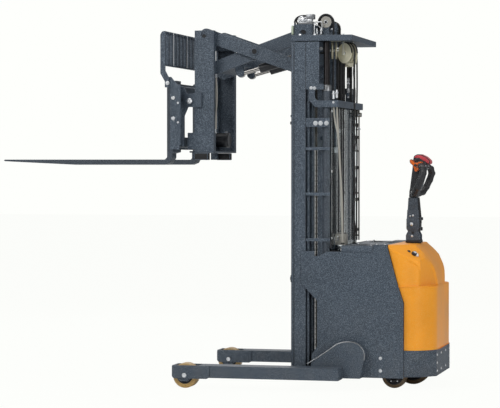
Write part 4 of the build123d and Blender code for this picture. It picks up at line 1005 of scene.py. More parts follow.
class TRUCK_OT_chains(bpy.types.Operator):
    """Lay the leaf chains link by link, with their anchors"""

    bl_idname = "truck.chains"
    bl_label = "Chains"

    def lay(self, name, wide, *paths):
        """Lay chains of this width, in millimetres, along these paths, as one piece."""
        pin = wide / 1000
        edge = pin / 2 - 0.002
        even = chain_link("even", np.linspace(-edge, edge, 4), self.pitch, pin)
        odd = chain_link("odd", np.linspace(-edge + 0.003, edge - 0.003, 3), self.pitch, pin)
        values = {"Pitch": self.pitch, "Even Link": even, "Odd Link": odd, "Finish": FINISHES["oiled_steel"]}
        whole = Piece(name)
        lines = []
        for path in paths:
            edges = [(i, i + 1) for i in range(len(path) - 1)]
            line = mesh_object(name, [part(*p) for p in path], edges)
            tree_modifier(line, self.tree, values)
            whole.mesh.from_mesh(line.data)
            lines.append(line)
        drop(*lines, even, odd)
        for vert in whole.mesh.verts:
            vert.co = to_part(vert.co)
        whole.paint(whole.mesh.faces, "oiled_steel")
        return whole

    def execute(self, context):
        self.pitch = context.scene.truck_sizes.chain_pitch
        self.tree = chain_tree()
        sides = (318, -318)
        inner = self.lay("inner_leaf_chains", 16, *([(-622, y, 160), (-622, y, 2036)] for y in sides))
        for y in sides:
            inner.blocks("zinc", 2, (-628, -612, y - 9, y + 9, 124, 168))
            inner.rods("zinc", UP, 6, 30, (-622, y, 172), sides=12)
        inner.done("inner_mast", "inner_chains", angle=30)

        anchor = self.lay("anchor_leaf_chains", 16, *([(-692, y, 1885), (-692, y, 2036)] for y in sides))
        for y in sides:
            anchor.blocks("zinc", 2, (-700, -684, y - 9, y + 9, 1862, 1888))
            anchor.rods("zinc", UP, 6, 112, (-692, y, 1815), sides=12)
            for z, tall in ((1806, 11), (1794, 8), (1850, 9)):
                anchor.rods("zinc", UP, 10.5, tall, (-692, y, z), sides=6)
            anchor.coil((-692, y, 1832), UP, 9, 1.6, 5, 5, "steel")
            reach = 7 if y > 0 else -7
            anchor.blocks("frame_paint", 2, (-702, -682, y + reach - 16, y + reach + 16, 1770, 1795))
        anchor.done("chassis", "anchor_chains", angle=30)

        arcs = [over_sheave((-657, 2036), 35, y, 2034, 2034) for y in sides]
        self.lay("sheave_leaf_chains", 16, *arcs).done("middle_mast", angle=30)

        carriage = self.lay("carriage_leaf_chain", 24, [(-621, 0, 1545), (-621, 0, 2170)])
        carriage.blocks("zinc", 2, (-628, -614, -13, 13, 1514, 1546))
        carriage.rods("zinc", UP, 6, 22, (-621, 0, 1552), sides=12)
        carriage.done("reach_carriage", "carriage_chain", angle=30)

        head = self.lay("crosshead_leaf_chain", 24, over_sheave((-661, 2176), 40, 0, 2176, 1560))
        head.blocks("zinc", 2, (-708, -694, -13, 13, 1531, 1562))
        head.done("crosshead", "crosshead_chain", angle=30)
        bpy.data.node_groups.remove(self.tree)
        return {"FINISHED"}


# ---------------------------------------------------------------- sheaves and wheels


# the two stacks of three hose sheaves: X, Y and the turn of their pins
STACKS = ((-798.0, 235.0, radians(52)), (-706.0, -245.0, radians(-26.6)))
STACK_LEVEL, STACK_RADIUS, STACK_PITCH = 2012, 61, 22
THREE = (-1, 0, 1)


def grooved(radius, width, rim, depth):
    """Profile of a sheave: flanges, a round groove, a dished web and a hub."""
    half = width / 2
    side = [
        (-half, 9), (-half - 1.5, 12), (-half - 1.5, 17), (-half + 2, 20), (-half + 2, radius - rim),
        (-half, radius - rim + 3), (-half, radius - 1), (-half + 1, radius),
        (-half * 0.55, radius - depth * 0.8),
    ]
    return side + [(0, radius - depth)] + mirrored(side)[len(side):] + side[:1]


class TRUCK_OT_sheaves(bpy.types.Operator):
    """Turn the chain and hose sheaves with their pins and brackets"""

    bl_idname = "truck.sheaves"
    bl_label = "Sheaves"

    def execute(self, context):
        side = Piece("side_sheaves")
        side.lathe((-657, 318, 2036), OUT, grooved(30, 18, 6, 3), "oiled_steel", 36)
        side.rods("zinc", OUT, 8.5, 52, (-657, 322, 2036), chamfer=1.5)
        side.rods("zinc", OUT, 12, 6, (-657, 349, 2036), chamfer=1.5, sides=6)
        side.blocks("frame_paint", 2, *((-671, -643, y, v, 2014, 2081) for y, v in ((334, 346), (294, 304))))
        side.both_sides()
        side.done("middle_mast", "chain_sheaves", angle=30)

        stack = Piece("hose_sheave_stacks")
        for x, y, lean in STACKS:
            along = Vector((cos(lean), sin(lean), 0))
            across = Vector((-along.y, along.x, 0))
            centre = Vector((x, y, STACK_LEVEL))
            for k in THREE:
                place = centre + along * k * STACK_PITCH
                stack.lathe(place, along, grooved(STACK_RADIUS, 12, 9, 5), "nylon", 56)
                stack.lathe(place, along, mirrored([(-9, 0), (-9, 11)]), "steel", 24)
            stack.rods("zinc", along, 8, 78, centre - along * 3, chamfer=1.5)
            heads = [centre + along * (k * 38 - 3) for k in (-1, 1)]
            stack.rods("zinc", along, 14, 7, *heads, chamfer=2, sides=6)
            for k in (-40, 34):
                corners = [(k, -8), (k + 6, -8), (k + 6, 8), (k, 8)]
                strap = [(centre + along * d + across * w).to_2d() for d, w in corners]
                stack.prism(strap, "Z", 1998, 2082, "zinc", 1.5)
        inner, middle = Vector((0.97, 0.24, 0)), Vector((-703, 236, 2030))
        for k in THREE:
            place = middle + inner * k * 23
            stack.lathe(place, inner, grooved(54, 9, 8, 4), "nylon", 48)
            stack.lathe(place, inner, mirrored([(-7, 0), (-7, 10)]), "steel", 24)
        stack.rods("zinc", inner, 7, 72, middle - inner * 2, chamfer=1.5)
        for y in (205, -288):
            stack.blocks("frame_paint", 2, (-760, -667, y, y + 83, 2081, 2092))
            nuts = [(x, y + 41, 2094) for x in (-745, -682)]
            stack.rods("zinc", UP, 9, 7, *nuts, chamfer=1.5, sides=6)
        stack.done("middle_mast", "hose_sheaves", slot="nylon", angle=30)

        top = Piece("crosshead_sheaves")
        top.lathe((-661, 0, 2176), OUT, grooved(34.6, 40, 7, 3), "oiled_steel", 40)
        top.rods("zinc", OUT, 11, 100, (-661, 0, 2176), chamfer=2)
        top.rods("zinc", OUT, 13, 60, (-661, 199, 2203), chamfer=2, sides=6)
        top.lathe((-661, 199, 2203), OUT, grooved(46, 29, 8, 4), "rubber", 48)
        top.done("crosshead", angle=30)
        return {"FINISHED"}


class TRUCK_OT_wheels(bpy.types.Operator):
    """Cast the wheels: a tread on a dished hub with a bearing and its bolts"""

    bl_idname = "truck.wheels"
    bl_label = "Wheels"

    def wheel(self, node, radius, width, hub, tyre):
        """One wheel, on the body that has its node's name."""
        low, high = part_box(node)
        centre = to_part((low + high) / 2)
        half = width / 2
        tread = [(-half, hub), (-half, radius - 8), (-half + 2.5, radius - 2.5), (-half + 7, radius)]
        core = [
            (-half + 1, hub + 0.5), (-half - 0.5, hub - 1), (-half - 0.5, hub - 7), (-half + 9, hub - 12),
            (-half + 9, hub * 0.52), (-half - 1, hub * 0.46), (-half - 1, 10),
        ]
        piece = Piece(node + "_tyre")
        piece.lathe(centre, OUT, mirrored(tread), tyre, 72)
        piece.lathe(centre, OUT, mirrored(core), "black_plastic", 56)
        for side in (1, -1):
            ring = [(half, 24), (half + 1, 24), (half + 1, 13), (half - 3, 12)]
            piece.lathe(centre, (0, side, 0), ring, "steel", 40)
            for k in range(6):
                a = 2 * pi * k / 6
                spot = centre + Vector((cos(a) * hub * 0.7, side * (half - 7), sin(a) * hub * 0.7))
                piece.rods("zinc", (0, side, 0), 5, 6, spot, sides=6)
        piece.done(node, node, slot="polyurethane", angle=30)

    def execute(self, context):
        for side in ("left", "right"):
            self.wheel("load_wheel_" + side, 75, 84, 50, "polyurethane")
            self.wheel("caster_wheel_" + side, 75, 50, 55, "worn_tread")
        self.wheel("drive_wheel", 105, 76, 80, "worn_tread")
        return {"FINISHED"}


# ---------------------------------------------------------------- fasteners


# body and head: rows of nodes, facing, and each place with its size; all are set on both sides
FASTENERS = {
    ("chassis", "hex"): (
        ("outer_mast", OUT, (-606, 395, 1799, 0.8), (-627, 395, 1798, 0.8), (-633, 395, 1588, 1.1),
         (-664, 395, 1588, 1.1), (-700, 395, 1588, 1.1), (-742, 395, 1712, 0.6)),
        ("side_plate_left", OUT, (-1030, 403, 188, 0.8), (-1030, 403, 113, 0.8)),
    ),
    ("chassis", "button"): (
        ("rear_skirt", REAR, (-1346, 248, 203, 0.8), (-1346, 248, 155, 0.8), (-1346, 248, 108, 0.8),
         (-1346, 90, 108, 0.8), (-1346, 90, 203, 0.8)),
        ("battery_lid", UP, (-805, 380, 856, 0.7), (-970, 380, 856, 0.7)),
        ("rear_deck", UP, (-1000, 370, 864, 0.7), (-1050, 370, 864, 0.7)),
        ("guard", REAR, (-729, 380, 1660, 0.9), (-729, 380, 1300, 0.9), (-729, 380, 900, 0.9)),
    ),
    ("middle_mast", "hex"): (
        ("middle_mast", UP, (-530, 364, 2115, 1.0), (-620, 360, 2115, 1.0), (-790, 340, 2115, 1.0)),
    ),
    ("fork_carriage", "hex"): (
        ("fork_carriage", OUT, (250, 390, 1745, 1.25), (250, 390, 1622, 1.25), (222, 390, 1715, 0.8),
         (222, 390, 1597, 0.8)),
        ("load_backrest", OUT, (286, 402, 1836, 1.0)),
    ),
    ("front_frame", "button"): (("front_frame fork_carriage", OUT, (172, 300, 1729, 1.9)),),
    ("steering", "button"): (("tiller_base", OUT, (-1160, 46, 905, 0.8)),),
    ("tiller", "button"): (
        ("tiller_arm", OUT, (-1157, 50, 978, 1.1), (-1165, 50, 1030, 0.7), (-1148, 50, 1027, 0.5)),
    ),
}
TILLER_COVER_FACE = 47.4


def bolt_tree():
    """A fastener on every point, turned to its facing and scaled to its size."""
    tree, inlet, outlet = geometry_tree("Fasteners", ("Head", "NodeSocketObject"), ("Width", FLOAT))
    cloud = add_node(tree, "GeometryNodeMeshToPoints", {"Mesh": inlet["Geometry"]})
    facing, size = (
        add_node(tree, "GeometryNodeInputNamedAttribute", {"Name": name}, data_type=kind).outputs[0]
        for name, kind in (("facing", "FLOAT_VECTOR"), ("size", "FLOAT"))
    )
    turn = add_node(tree, "FunctionNodeAlignRotationToVector", {"Vector": facing}, axis="Z").outputs[0]
    draw = {2: 0.0, 3: 6.28, "Seed": 7}
    spin = add_node(tree, "FunctionNodeRandomValue", draw, data_type="FLOAT").outputs[1]
    about = add_node(tree, "FunctionNodeAxisAngleToRotation", {"Axis": UP, "Angle": spin}).outputs[0]
    turns = {"Rotation": turn, "Rotate By": about}
    turned = add_node(tree, "FunctionNodeRotateRotation", turns, rotation_space="LOCAL").outputs[0]
    scale = math_node(tree, "MULTIPLY", size, inlet["Width"])
    head = add_node(tree, "GeometryNodeObjectInfo", {"Object": inlet["Head"]}).outputs["Geometry"]
    values = {"Points": cloud.outputs[0], "Instance": head, "Rotation": turned, "Scale": scale}
    placed = add_node(tree, "GeometryNodeInstanceOnPoints", values)
    return finish_instances(tree, placed.outputs[0], inlet["Finish"], outlet)


def snapped(nodes, place, facing):
    """The point first met on these nodes from outside along a facing, in millimetres."""
    bpy.context.view_layer.update()
    facing = Vector(facing).normalized()
    start = part(*place) + facing * 0.12
    met = []
    for node in nodes.split():
        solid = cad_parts[node]
        to_local = solid.matrix_world.inverted()
        turn = to_local.to_3x3()
        hit, spot, _, _ = solid.ray_cast(to_local @ start, turn @ -facing, distance=0.3)
        if hit:
            met.append(solid.matrix_world @ spot)
    if not met:
        raise RuntimeError("no surface of " + nodes + " at " + str(place))
    return to_part(min(met, key=lambda point: (point - start).length))


def hex_head():
    """A washer and a hexagon head, one unit wide over its corners."""
    piece = Piece("hex")
    piece.rods("zinc", UP, 0.68, 0.12, (0, 0, 0.05), chamfer=0.04, sides=16)
    piece.rods("zinc", UP, 0.5, 0.36, (0, 0, 0.28), chamfer=0.06, sides=6)
    piece.rods("zinc", UP, 0.24, 0.06, (0, 0, 0.47), chamfer=0.03, sides=8)
    return piece.written()


def button_head():
    """A low round head with a socket, one unit wide."""
    piece = Piece("button")
    dome = [(-0.05, 0), (-0.05, 0.5), (0.08, 0.48), (0.2, 0.36), (0.25, 0.24), (0.16, 0.2), (0.14, 0)]
    piece.lathe((0, 0, 0), UP, dome, "zinc", 12)
    return piece.written()


class TRUCK_OT_fasteners(bpy.types.Operator):
    """Set the bolts on the faces they hold, by Geometry Nodes"""

    bl_idname = "truck.fasteners"
    bl_label = "Fasteners"

    def execute(self, context):
        tree = bolt_tree()
        heads = {"hex": hex_head(), "button": button_head()}
        common = {"Width": context.scene.truck_sizes.bolt_head, "Finish": FINISHES["zinc"]}
        for (body, kind), rows in FASTENERS.items():
            places, facings, sizes = [], [], []
            for nodes, facing, *spots in rows:
                for *place, size in spots:
                    x, y, z = snapped(nodes, place, facing)
                    if body == "tiller":
                        y = TILLER_COVER_FACE
                    for side in (1, -1):
                        places.append(part(x, y * side, z))
                        facings += [facing[0], facing[1] * side, facing[2]]
                        sizes.append(size)
            obj = mesh_object("_".join((body, kind, "heads")), places)
            data = obj.data.attributes
            data.new("facing", "FLOAT_VECTOR", "POINT").data.foreach_set("vector", facings)
            data.new("size", "FLOAT", "POINT").data.foreach_set("value", sizes)
            tree_modifier(obj, tree, common | {"Head": heads[kind]})
            declare(obj, body, angle=28)
        drop(*heads.values())
        bpy.data.node_groups.remove(tree)
        return {"FINISHED"}


# ---------------------------------------------------------------- hoses and fittings


HOSE = 5.2  # radius of the hoses that run over the stacks


def fitting(piece, place, along, size=1.0):
    """A hydraulic hose end: crimped sleeve, nut and stem."""
    place, along = Vector(place), Vector(along).normalized()
    piece.rods("zinc", along, 7 * size, 26 * size, place, chamfer=1.5, sides=14)
    piece.rods("zinc", along, 9.5 * size, 10 * size, place + along * 18 * size, chamfer=1.5, sides=6)
    piece.rods("zinc", along, 6 * size, 12 * size, place + along * 28 * size, sides=12)


def weave(place, height, low, steps, amount, phase):
    """A hanging line from a height down to low that sways a little."""
    x, y = place
    sway = [amount * sin(phase + 2.4 * i) * (0 if i in (0, steps - 1) else 1) for i in range(steps)]
    return [(x + s, y + 0.6 * s, z) for s, z in zip(sway, np.linspace(height, low, steps))]


class TRUCK_OT_mast_hoses(bpy.types.Operator):
    """Run the hoses of the mast over their sheaves, with clamps and fittings"""

    bl_idname = "truck.mast_hoses"
    bl_label = "Mast hoses"

    def stretch(self, name, radius, paths, bodies, levels):
        """Hoses that hang between two stages of the mast."""
        piece = Piece(name)
        for path in paths:
            piece.tube(path, radius, "rubber", 8, 3)
        obj = piece.done(bodies[0])
        obj.parent = None
        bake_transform(obj, *bodies, part(0, 0, levels[0]), part(0, 0, levels[1]))

    def execute(self, context):
        bend = Piece("sheave_hoses")
        starts, inner = [], []
        rise = Vector((0, 0, STACK_RADIUS))
        for x, y, turn in STACKS:
            along = Vector((cos(turn), sin(turn), 0))
            across = Vector((-along.y, along.x, 0)) * (STACK_RADIUS if y > 0 else -STACK_RADIUS)
            for k in THREE:
                centre = Vector((x, y, STACK_LEVEL)) + along * k * STACK_PITCH
                arc = [centre + across * cos(a) + rise * sin(a) for a in np.linspace(0, pi, 9)]
                bend.tube(arc, HOSE, "rubber", 8, 3)
                starts.append(arc[0].to_2d())
                u, v = arc[-1].to_2d()
                low = max(u, -760) if y > 0 else u
                upper = [(u, v, STACK_LEVEL), (u + 4, v, 1880)]
                inner.append(upper + [(low, v * 0.97, 1500), (low, v * 0.97, 900)])
        bend.done("middle_mast")
        down = [weave(starts[i], STACK_LEVEL, 866, 7, 1.5, i) for i in (1, 3, 4, 5)]
        self.stretch("deck_hoses", HOSE, down, ("chassis", "middle_mast"), (900, 1990))
        self.stretch("inner_hoses", HOSE, inner, ("inner_mast", "middle_mast"), (900, 1990))

        lines = Piece("valve_lines")
        for x, y, top, *rest in (
            (-738, 374, 1745, (-748, 372, 1600), (-766, 362, 1500), (-776, 350, 1300), (-788, 344, 868)),
            (-757, 368, 1752, (-762, 367, 1600), (-775, 361, 1350), (-787, 354, 1120), (-792, 356, 868)),
        ):
            lines.tube([(x, y, top - 50), *rest], 5.5, "pale_hose", 10, 5)
            fitting(lines, (x, y, top), UP, 1.05)
            lines.rods("zinc", UP, 6, 20, (x, y, top + 26))
        lines.tube(weave((-846, 268), 1990, 864, 12, 7, -843), 3.0, "rubber", 6, 4)
        for z, reach in ((1672, 18), (1590, 22), (1512, 16), (1320, 16), (1120, 16), (930, 16)):
            lines.blocks("rubber", 3, (-729 - reach, -729, -386, -358, z - 11, z + 11))
            lines.rods("zinc", OUT, 5, 6, (-729 - reach / 2, -356, z), sides=6)
        lines.blocks("black_plastic", 4, (-766, -729, -392, -352, 1640, 1668))
        lines.rods("zinc", OUT, 7, 6, (-752, -350, 1654), sides=6)
        fitting(lines, (-738, -372, 1560), (-1, 0, 0.2), 0.7)
        fitting(lines, (-738, -372, 1576), REAR, 0.5)
        for x, y in ((-788, 344), (-792, 356), (-844, 262)):
            lines.lathe((x, y, 864), UP, [(0, 0), (0, 13), (5, 12), (9, 8), (9, 0)], "rubber", 20)
        lines.blocks("black_plastic", 2, (-752, -743, -395, -386, 862, 1690))
        for z in (1684, 1426, 1160, 893):
            rung = ((-750, -731, -392, -384, z - 5, z + 5), (-735, -729, -390, -300, z - 5, z + 5))
            lines.blocks("black_plastic", 1.5, *rung)
        lines.done("chassis")

        arc = Piece("crosshead_hose")
        loop = [Vector((-661 + 45 * cos(a), 223, 2203 + 45 * sin(a))) for a in np.linspace(0, pi, 9)]
        arc.tube([(-616, 212, 2150)] + loop + [(-706, 214, 2130), (-702, 199, 2060)], 6, "rubber", 10, 4)
        disc = [(0, 0), (0, 33), (2, 35), (4, 33), (4, 0)]
        arc.lathe((-661, 222, 2203), OUT, disc, "pale_hose", 40)
        arc.rods("zinc", OUT, 10, 6, (-661, 226, 2203), chamfer=1.5, sides=6)
        arc.done("crosshead")
        riser = [(-702, 199, 2060), (-700, 199, 1800), (-698, 196, 1400), (-694, 190, 940)]
        self.stretch("riser_hose", 5, [riser], ("inner_mast", "crosshead"), (1000, 2050))
        return {"FINISHED"}


class TRUCK_OT_reach_fittings(bpy.types.Operator):
    """Fit the reach carriage's manifold, its lines, pads and the scissor's bosses"""

    bl_idname = "truck.reach_fittings"
    bl_label = "Reach fittings"

    def execute(self, context):
        head = Piece("carriage_manifold")
        head.blocks("steel", 2, (-592, -500, 240, 284, 2188, 2204), (-646, -594, 232, 250, 2112, 2126))
        head.blocks("steel", 3, (-600, -552, 242, 284, 2218, 2248))
        head.blocks("zinc", 2, (-588, -556, 250, 280, 2203, 2223))
        head.blocks("zinc", 3, (-544, -520, 258, 282, 2203, 2230))
        for x, y in ((-548, 274), (-530, 256), (-508, 272)):
            fitting(head, (x, y, 2208), (-0.5, 0.1, 0.5), 0.62)
        for z in (2210, 2226):
            fitting(head, (-536, 276, z), (-1, 0, 0.12), 0.7)
        for x in (-608, -634):
            fitting(head, (x, 240, 2138), UP, 0.75)
        supply = [
            (-482, 276, 2186), (-480, 276, 2206), (-492, 276, 2226), (-516, 272, 2238), (-548, 268, 2240),
        ]
        back = [
            (-496, 258, 2186), (-486, 258, 2212), (-500, 254, 2230),
            (-530, 248, 2236), (-560, 240, 2228), (-580, 226, 2196),
        ]
        bridge = [(-514, 262, 2204), (-500, 272, 2222), (-524, 280, 2234), (-546, 276, 2216)]
        wire = [(-592, 240, 2122), (-592, 240, 2203), (-640, 240, 2203), (-640, 240, 2150)]
        head.tube(supply, 5.4, "rubber", 10)
        head.tube(back, 5.0, "rubber", 10)
        head.tube(bridge, 4, "zinc", 8)
        head.tube(rounded_line(wire, 8), 3.4, "zinc", 8, 0)
        head.tube([(-596, 238, 2196), (-640, 238, 2160)], 2.4, "zinc", 6, 1)
        head.blocks("pad", 3, (-475, -462, 262, 300, 2124, 2180))
        head.rods("zinc", FRONT, 7, 2, (-461.5, 281, 2152), chamfer=0.5, sides=12)
        spot = snapped("reach_carriage outer_arms inner_arms", (-534, 308, 2146), OUT)
        # the hole in the carriage's side: a dark ring and disc of painted shade
        hole = [(0, 0), (0, 17), (2.4, 16.5), (2.4, 13.5), (0.4, 13), (0.4, 0)]
        head.lathe(spot, OUT, hole, "painted_shade", 36)
        head.done("reach_carriage")

        boss = Piece("scissor_bosses")
        spot = snapped("outer_arms inner_arms", (-218, 276, 2030), OUT)
        ring = [(-2, 0), (-2, 24), (2.5, 23), (3.5, 20), (3.5, 17.5), (0.6, 16.5), (0.6, 0)]
        boss.lathe(spot, OUT, ring, "frame_paint", 40)
        # the boss's bore: a dark disc of painted shade
        boss.lathe(spot, OUT, [(0, 0), (0, 16), (0.9, 15), (0.9, 0)], "painted_shade", 32)
        boss.both_sides()
        boss.done("outer_arms")

        front = Piece("front_frame_holes")
        spot = snapped("front_frame outer_arms inner_arms", (89, 300, 2125), OUT)
        ring = [(-1, 0), (-1, 18), (1.4, 17), (1.6, 14), (0.5, 13), (0.5, 0)]
        front.lathe(spot, OUT, ring, "frame_paint", 36)
        # the hole's bore: a dark disc of painted shade
        front.lathe(spot, OUT, [(0, 0), (0, 13), (0.8, 12), (0.8, 0)], "painted_shade", 32)
        front.blocks("rubber", 4, (60, 146, 244, 300, 1368, 1412))
        front.both_sides()
        for radius, *path in (
            (6, (25, 234, 1880), (25, 234, 1800), (28, 233, 1730), (25, 233, 1640), (26, 233, 1556)),
            (5, (30, 227, 1872), (38, 228, 1800), (33, 227, 1720), (28, 226, 1640), (34, 226, 1560)),
            (4.5, (22, 240, 1876), (17, 240, 1760), (24, 240, 1640), (30, 240, 1556)),
        ):
            front.tube(path, radius, "pale_hose", 10)
        ends = ((30, 227, 1880), (22, 242, 1884), (34, 226, 1552), (30, 242, 1548))
        front.rods("zinc", UP, 7.5, 22, *ends, chamfer=1.5, sides=6)
        front.done("front_frame")
        return {"FINISHED"}


# ---------------------------------------------------------------- details


class TRUCK_OT_mast_details(bpy.types.Operator):
    """Add the mast's joint lines in painted shade, stops and clips and the cylinders' glands"""

    bl_idname = "truck.mast_details"
    bl_label = "Mast details"

    def execute(self, context):
        mast = Piece("mast_trim")
        # dark strips of painted shade in the joint gaps between the mast's welded flats
        joints = [(x - 1.4, x + 1.4, 394.4, 395.5, low, 2070) for x, low in ((-502, 60), (-573, 860))]
        mast.blocks("painted_shade", 0.3, *joints)
        mast.blocks("frame_paint", 0.7, (-500, -485.5, 395, 396.6, 56, 2072))
        mast.blocks("rubber", 2, *((-484, -475, 352, 384, z - 9, z + 9) for z in (1590, 655)))
        stops = [(-482, 368, z) for z in (1632, 668, 640)]
        mast.rods("rubber", FRONT, 8, 14, *stops, chamfer=2, sides=6)
        clips = [(-731, -721, 392, 398, z - 20, z + 20) for z in (860, 1240, 1640)]
        mast.blocks("black_plastic", 1.5, *clips)
        mast.both_sides()
        mast.done("chassis")

        glands = Piece("cylinder_glands")
        ring = [(-34, 25.4), (-34, 28), (-4, 28), (0, 26), (3, 22), (3, 19), (-34, 19), (-34, 25.4)]
        for y in (353, -353):
            glands.lathe((-693, y, 1815), UP, ring, "steel", 32)
            glands.rods("zinc", FRONT, 8, 14, (-720, y, 240), chamfer=1.5, sides=6)
            glands.rods("zinc", FRONT, 5, 8, (-666, y, 1796), sides=6)
        glands.done("chassis")

        middle = Piece("free_lift_gland")
        ring = [(-34, 27.4), (-34, 30), (-4, 30), (0, 28), (3, 24), (3, 19), (-34, 19), (-34, 27.4)]
        middle.lathe((-661, 0, 1445), UP, ring, "steel", 32)
        middle.rods("zinc", FRONT, 8, 14, (-692, 0, 230), chamfer=1.5, sides=6)
        middle.done("inner_mast")

        tilt = Piece("tilt_cylinder_trim")
        foot = [(-26, 44.2), (-26, 46), (-3, 46), (0.5, 44), (0.9, 36), (0.2, 34), (0.2, 0)]
        tilt.lathe((-1, 0, 1492), REAR, foot, "cylinder_paint", 44)
        lip = [(-20, 44.2), (-20, 46), (-2, 46), (1, 42), (1, 20), (-20, 20)]
        tilt.lathe((128, 0, 1492), FRONT, lip, "steel", 44)
        tilt.rods("zinc", UP, 8, 14, (20, 0, 1540), (104, 0, 1540), chamfer=1.5, sides=6)
        tilt.done("tilt_barrel")
        return {"FINISHED"}


class TRUCK_OT_carriage_details(bpy.types.Operator):
    """Deepen the load backrest's flats and add the fork carriage's plates"""

    bl_idname = "truck.carriage_details"
    bl_label = "Carriage details"

    def execute(self, context):
        rest = Piece("backrest_flats")
        flats = [(297, 326, y - 4, y + 4, 1946, 2150) for y in range(-312, 313, 78)]
        rest.blocks("dark_paint", 1, *flats)
        rest.rods("zinc", UP, 2.4, 200, (294, -78, 2048), (294, 234, 2048), chamfer=0.8, sides=8)
        rest.done("fork_carriage", angle=30)
        plates = Piece("carriage_end_plates")
        near = [(206, 1462), (232, 1462), (232, 1608), (262, 1608), (262, 1800), (240, 1826), (206, 1826)]
        plates.plate(near, 4, 389, 393, "frame_paint", 1)
        plates.both_sides()
        plates.done("fork_carriage", angle=30)
        return {"FINISHED"}


class TRUCK_OT_body_details(bpy.types.Operator):
    """Add the key switch, the valve block, rims with a painted highlight along each gusset, the lids' ribs
    in painted shade and handles and the legs' axle caps
    """

    bl_idname = "truck.body_details"
    bl_label = "Body details"

    def execute(self, context):
        switch = Piece("key_switch")
        away = Vector(VISOR_FACING).normalized()
        lock = Vector((-1216, 317, 804))
        for place, tall, radius in ((lock, 14, 16), (Vector((-1186, 315, 822)), 4, 10)):
            switch.rods("black_plastic", away, radius, tall, place + away * tall / 2, chamfer=2)
        key = lock + away * 13
        x, y, z = key
        switch.blocks("zinc", 1, (x - 9, x + 7, y - 2, y + 2, z - 4, z + 10))
        switch.blocks("tag", 1, (x - 24, x - 8, y - 1, y + 1, z - 22, z - 4))
        ring = [key + Vector(step) for step in ((-6, 0, 4), (-14, 4, 0), (-16, 2, -8))]
        switch.tube(ring, 1.2, "zinc", 6)
        dots = [(-1207 + k * 5, 316 - k * 9, 813 + k * 1.5) for k in range(-2, 3)]
        switch.rods("black_plastic", away, 2.4, 6, *dots, chamfer=0.8, sides=8)
        switch.done("chassis")

        valve = Piece("valve_block")
        valve.blocks("pale_hose", 4, (-800, -738, 238, 318, 857, 922))
        valve.blocks("battery_case", 2, (-792, -746, 246, 310, 922, 930))
        for x in (-784, -756):
            valve.rods("steel", OUT, 8, 6, (x, 321, 890), sides=6)
            fitting(valve, (x, 318, 908), OUT, 0.6)
        valve.done("chassis")

        rims = Piece("moulded_rims")
        ledge = [(-1120, 381, 613), (-1166, 380, 613), (-1264, 347, 613), (-1306, 292, 613)]
        rims.tube(ledge, 5, "hood_orange", 8, 2)
        crest = [(-1080, 381, 842), (-1150, 372, 806), (-1262, 352, 757)]
        rims.tube(crest, 4, "hood_orange", 8, 2)
        # a steel line along the top rim of each gusset: a painted highlight for the bright edge of the plate
        gusset = [
            (-600, 471, 152), (-684, 471, 204), (-790, 471, 280), (-854, 471, 291),
            (-912, 471, 278), (-950, 471, 224), (-944, 471, 180),
        ]
        rims.tube(rounded_line(gusset, 30), 3.5, "steel", 8, 0)
        rims.both_sides()
        rims.done("chassis")

        lid = Piece("lid_trim")
        for y in (-250, 250):
            lid.blocks("dark_paint", 1, (-930, -850, y - 42, y + 42, 856, 858.5))
            lid.blocks("rubber", 0.8, (-918, -862, y - 30, y + 30, 858, 860))
            grip = [(-870, y + reach, z) for reach, z in ((-22, 858), (-22, 866), (22, 866), (22, 858))]
            lid.tube(rounded_line(grip, 5), 3, "zinc", 8, 0)
        lid.blocks("frame_paint", 1, *((x - 4, x + 4, -396, 396, 855.5, 858.5) for x in (-975, -800)))
        lid.blocks("frame_paint", 1, *((-979, -796, y, y + 4, 855.5, 858.5) for y in (-396, 392)))
        # dark strips of painted shade for the deck's ribs and for the gap at the lid's rear edge
        ribs = [(-1052, -1006, y - 3, y + 3, 863.5, 865) for y in range(-160, 161, 40)]
        lid.blocks("painted_shade", 0.4, *ribs)
        lid.blocks("painted_shade", 0.5, (-987, -983.6, -394, 394, 822, 860))
        lid.done("chassis")

        legs = Piece("axle_caps")
        cheek = [(-29, 137), (-29, 68), (-14, 60), (190, 60), (201, 71), (201, 137)]
        legs.plate(cheek, 5, 603, 608, "frame_paint", 1.5)
        legs.plate(cheek, 5, 461, 467, "frame_paint", 1.5)
        legs.rods("zinc", OUT, 15, 6, (124, 611, 80), (124, 458, 80), chamfer=2, sides=6)
        legs.both_sides()
        legs.done("chassis")
        return {"FINISHED"}


# ---------------------------------------------------------------- stage


CAMERA_PLACE = Vector((-3.2775, 12.7510, 1.3489))
CAMERA_YAW = radians(13.8)
CAMERA_PITCH = radians(1.11)
CAMERA_LENS = 151.85
LAMP_TARGET = Vector((0.0, 0.0, 1.1))
# place, width, height and power of each lamp
LAMPS = {
    "key": ((2.6, 5.4, 4.8), 3.2, 2.4, 165),
    "side": ((-5.2, 4.4, 2.6), 2.6, 3.0, 95),
    "back": ((1.5, -5.0, 3.6), 3.5, 2.5, 75),
    "top": ((-0.4, 0.2, 6.0), 4.0, 3.0, 95),
}
FLOOR_REACH = 40.0


def aim(obj, place, sight):
    """Put a lamp or a camera in its place, looking along a line."""
    obj.location = place
    obj.rotation_euler = sight.to_track_quat("-Z", "Y").to_euler()


def lit_white(tree, shader_output, share):
    """Mix a surface with plain white for the rays that draw the background."""
    path = add_node(tree, "ShaderNodeLightPath").outputs
    white = add_node(tree, "ShaderNodeEmission", {"Color": srgb(254, 255, 252), "Strength": 1.0})
    seen = math_node(tree, "MAXIMUM", path["Is Camera Ray"], path["Is Transmission Ray"])
    values = {0: math_node(tree, "MULTIPLY", seen, share), 1: shader_output, 2: white.outputs[0]}
    return add_node(tree, "ShaderNodeMixShader", values).outputs[0]


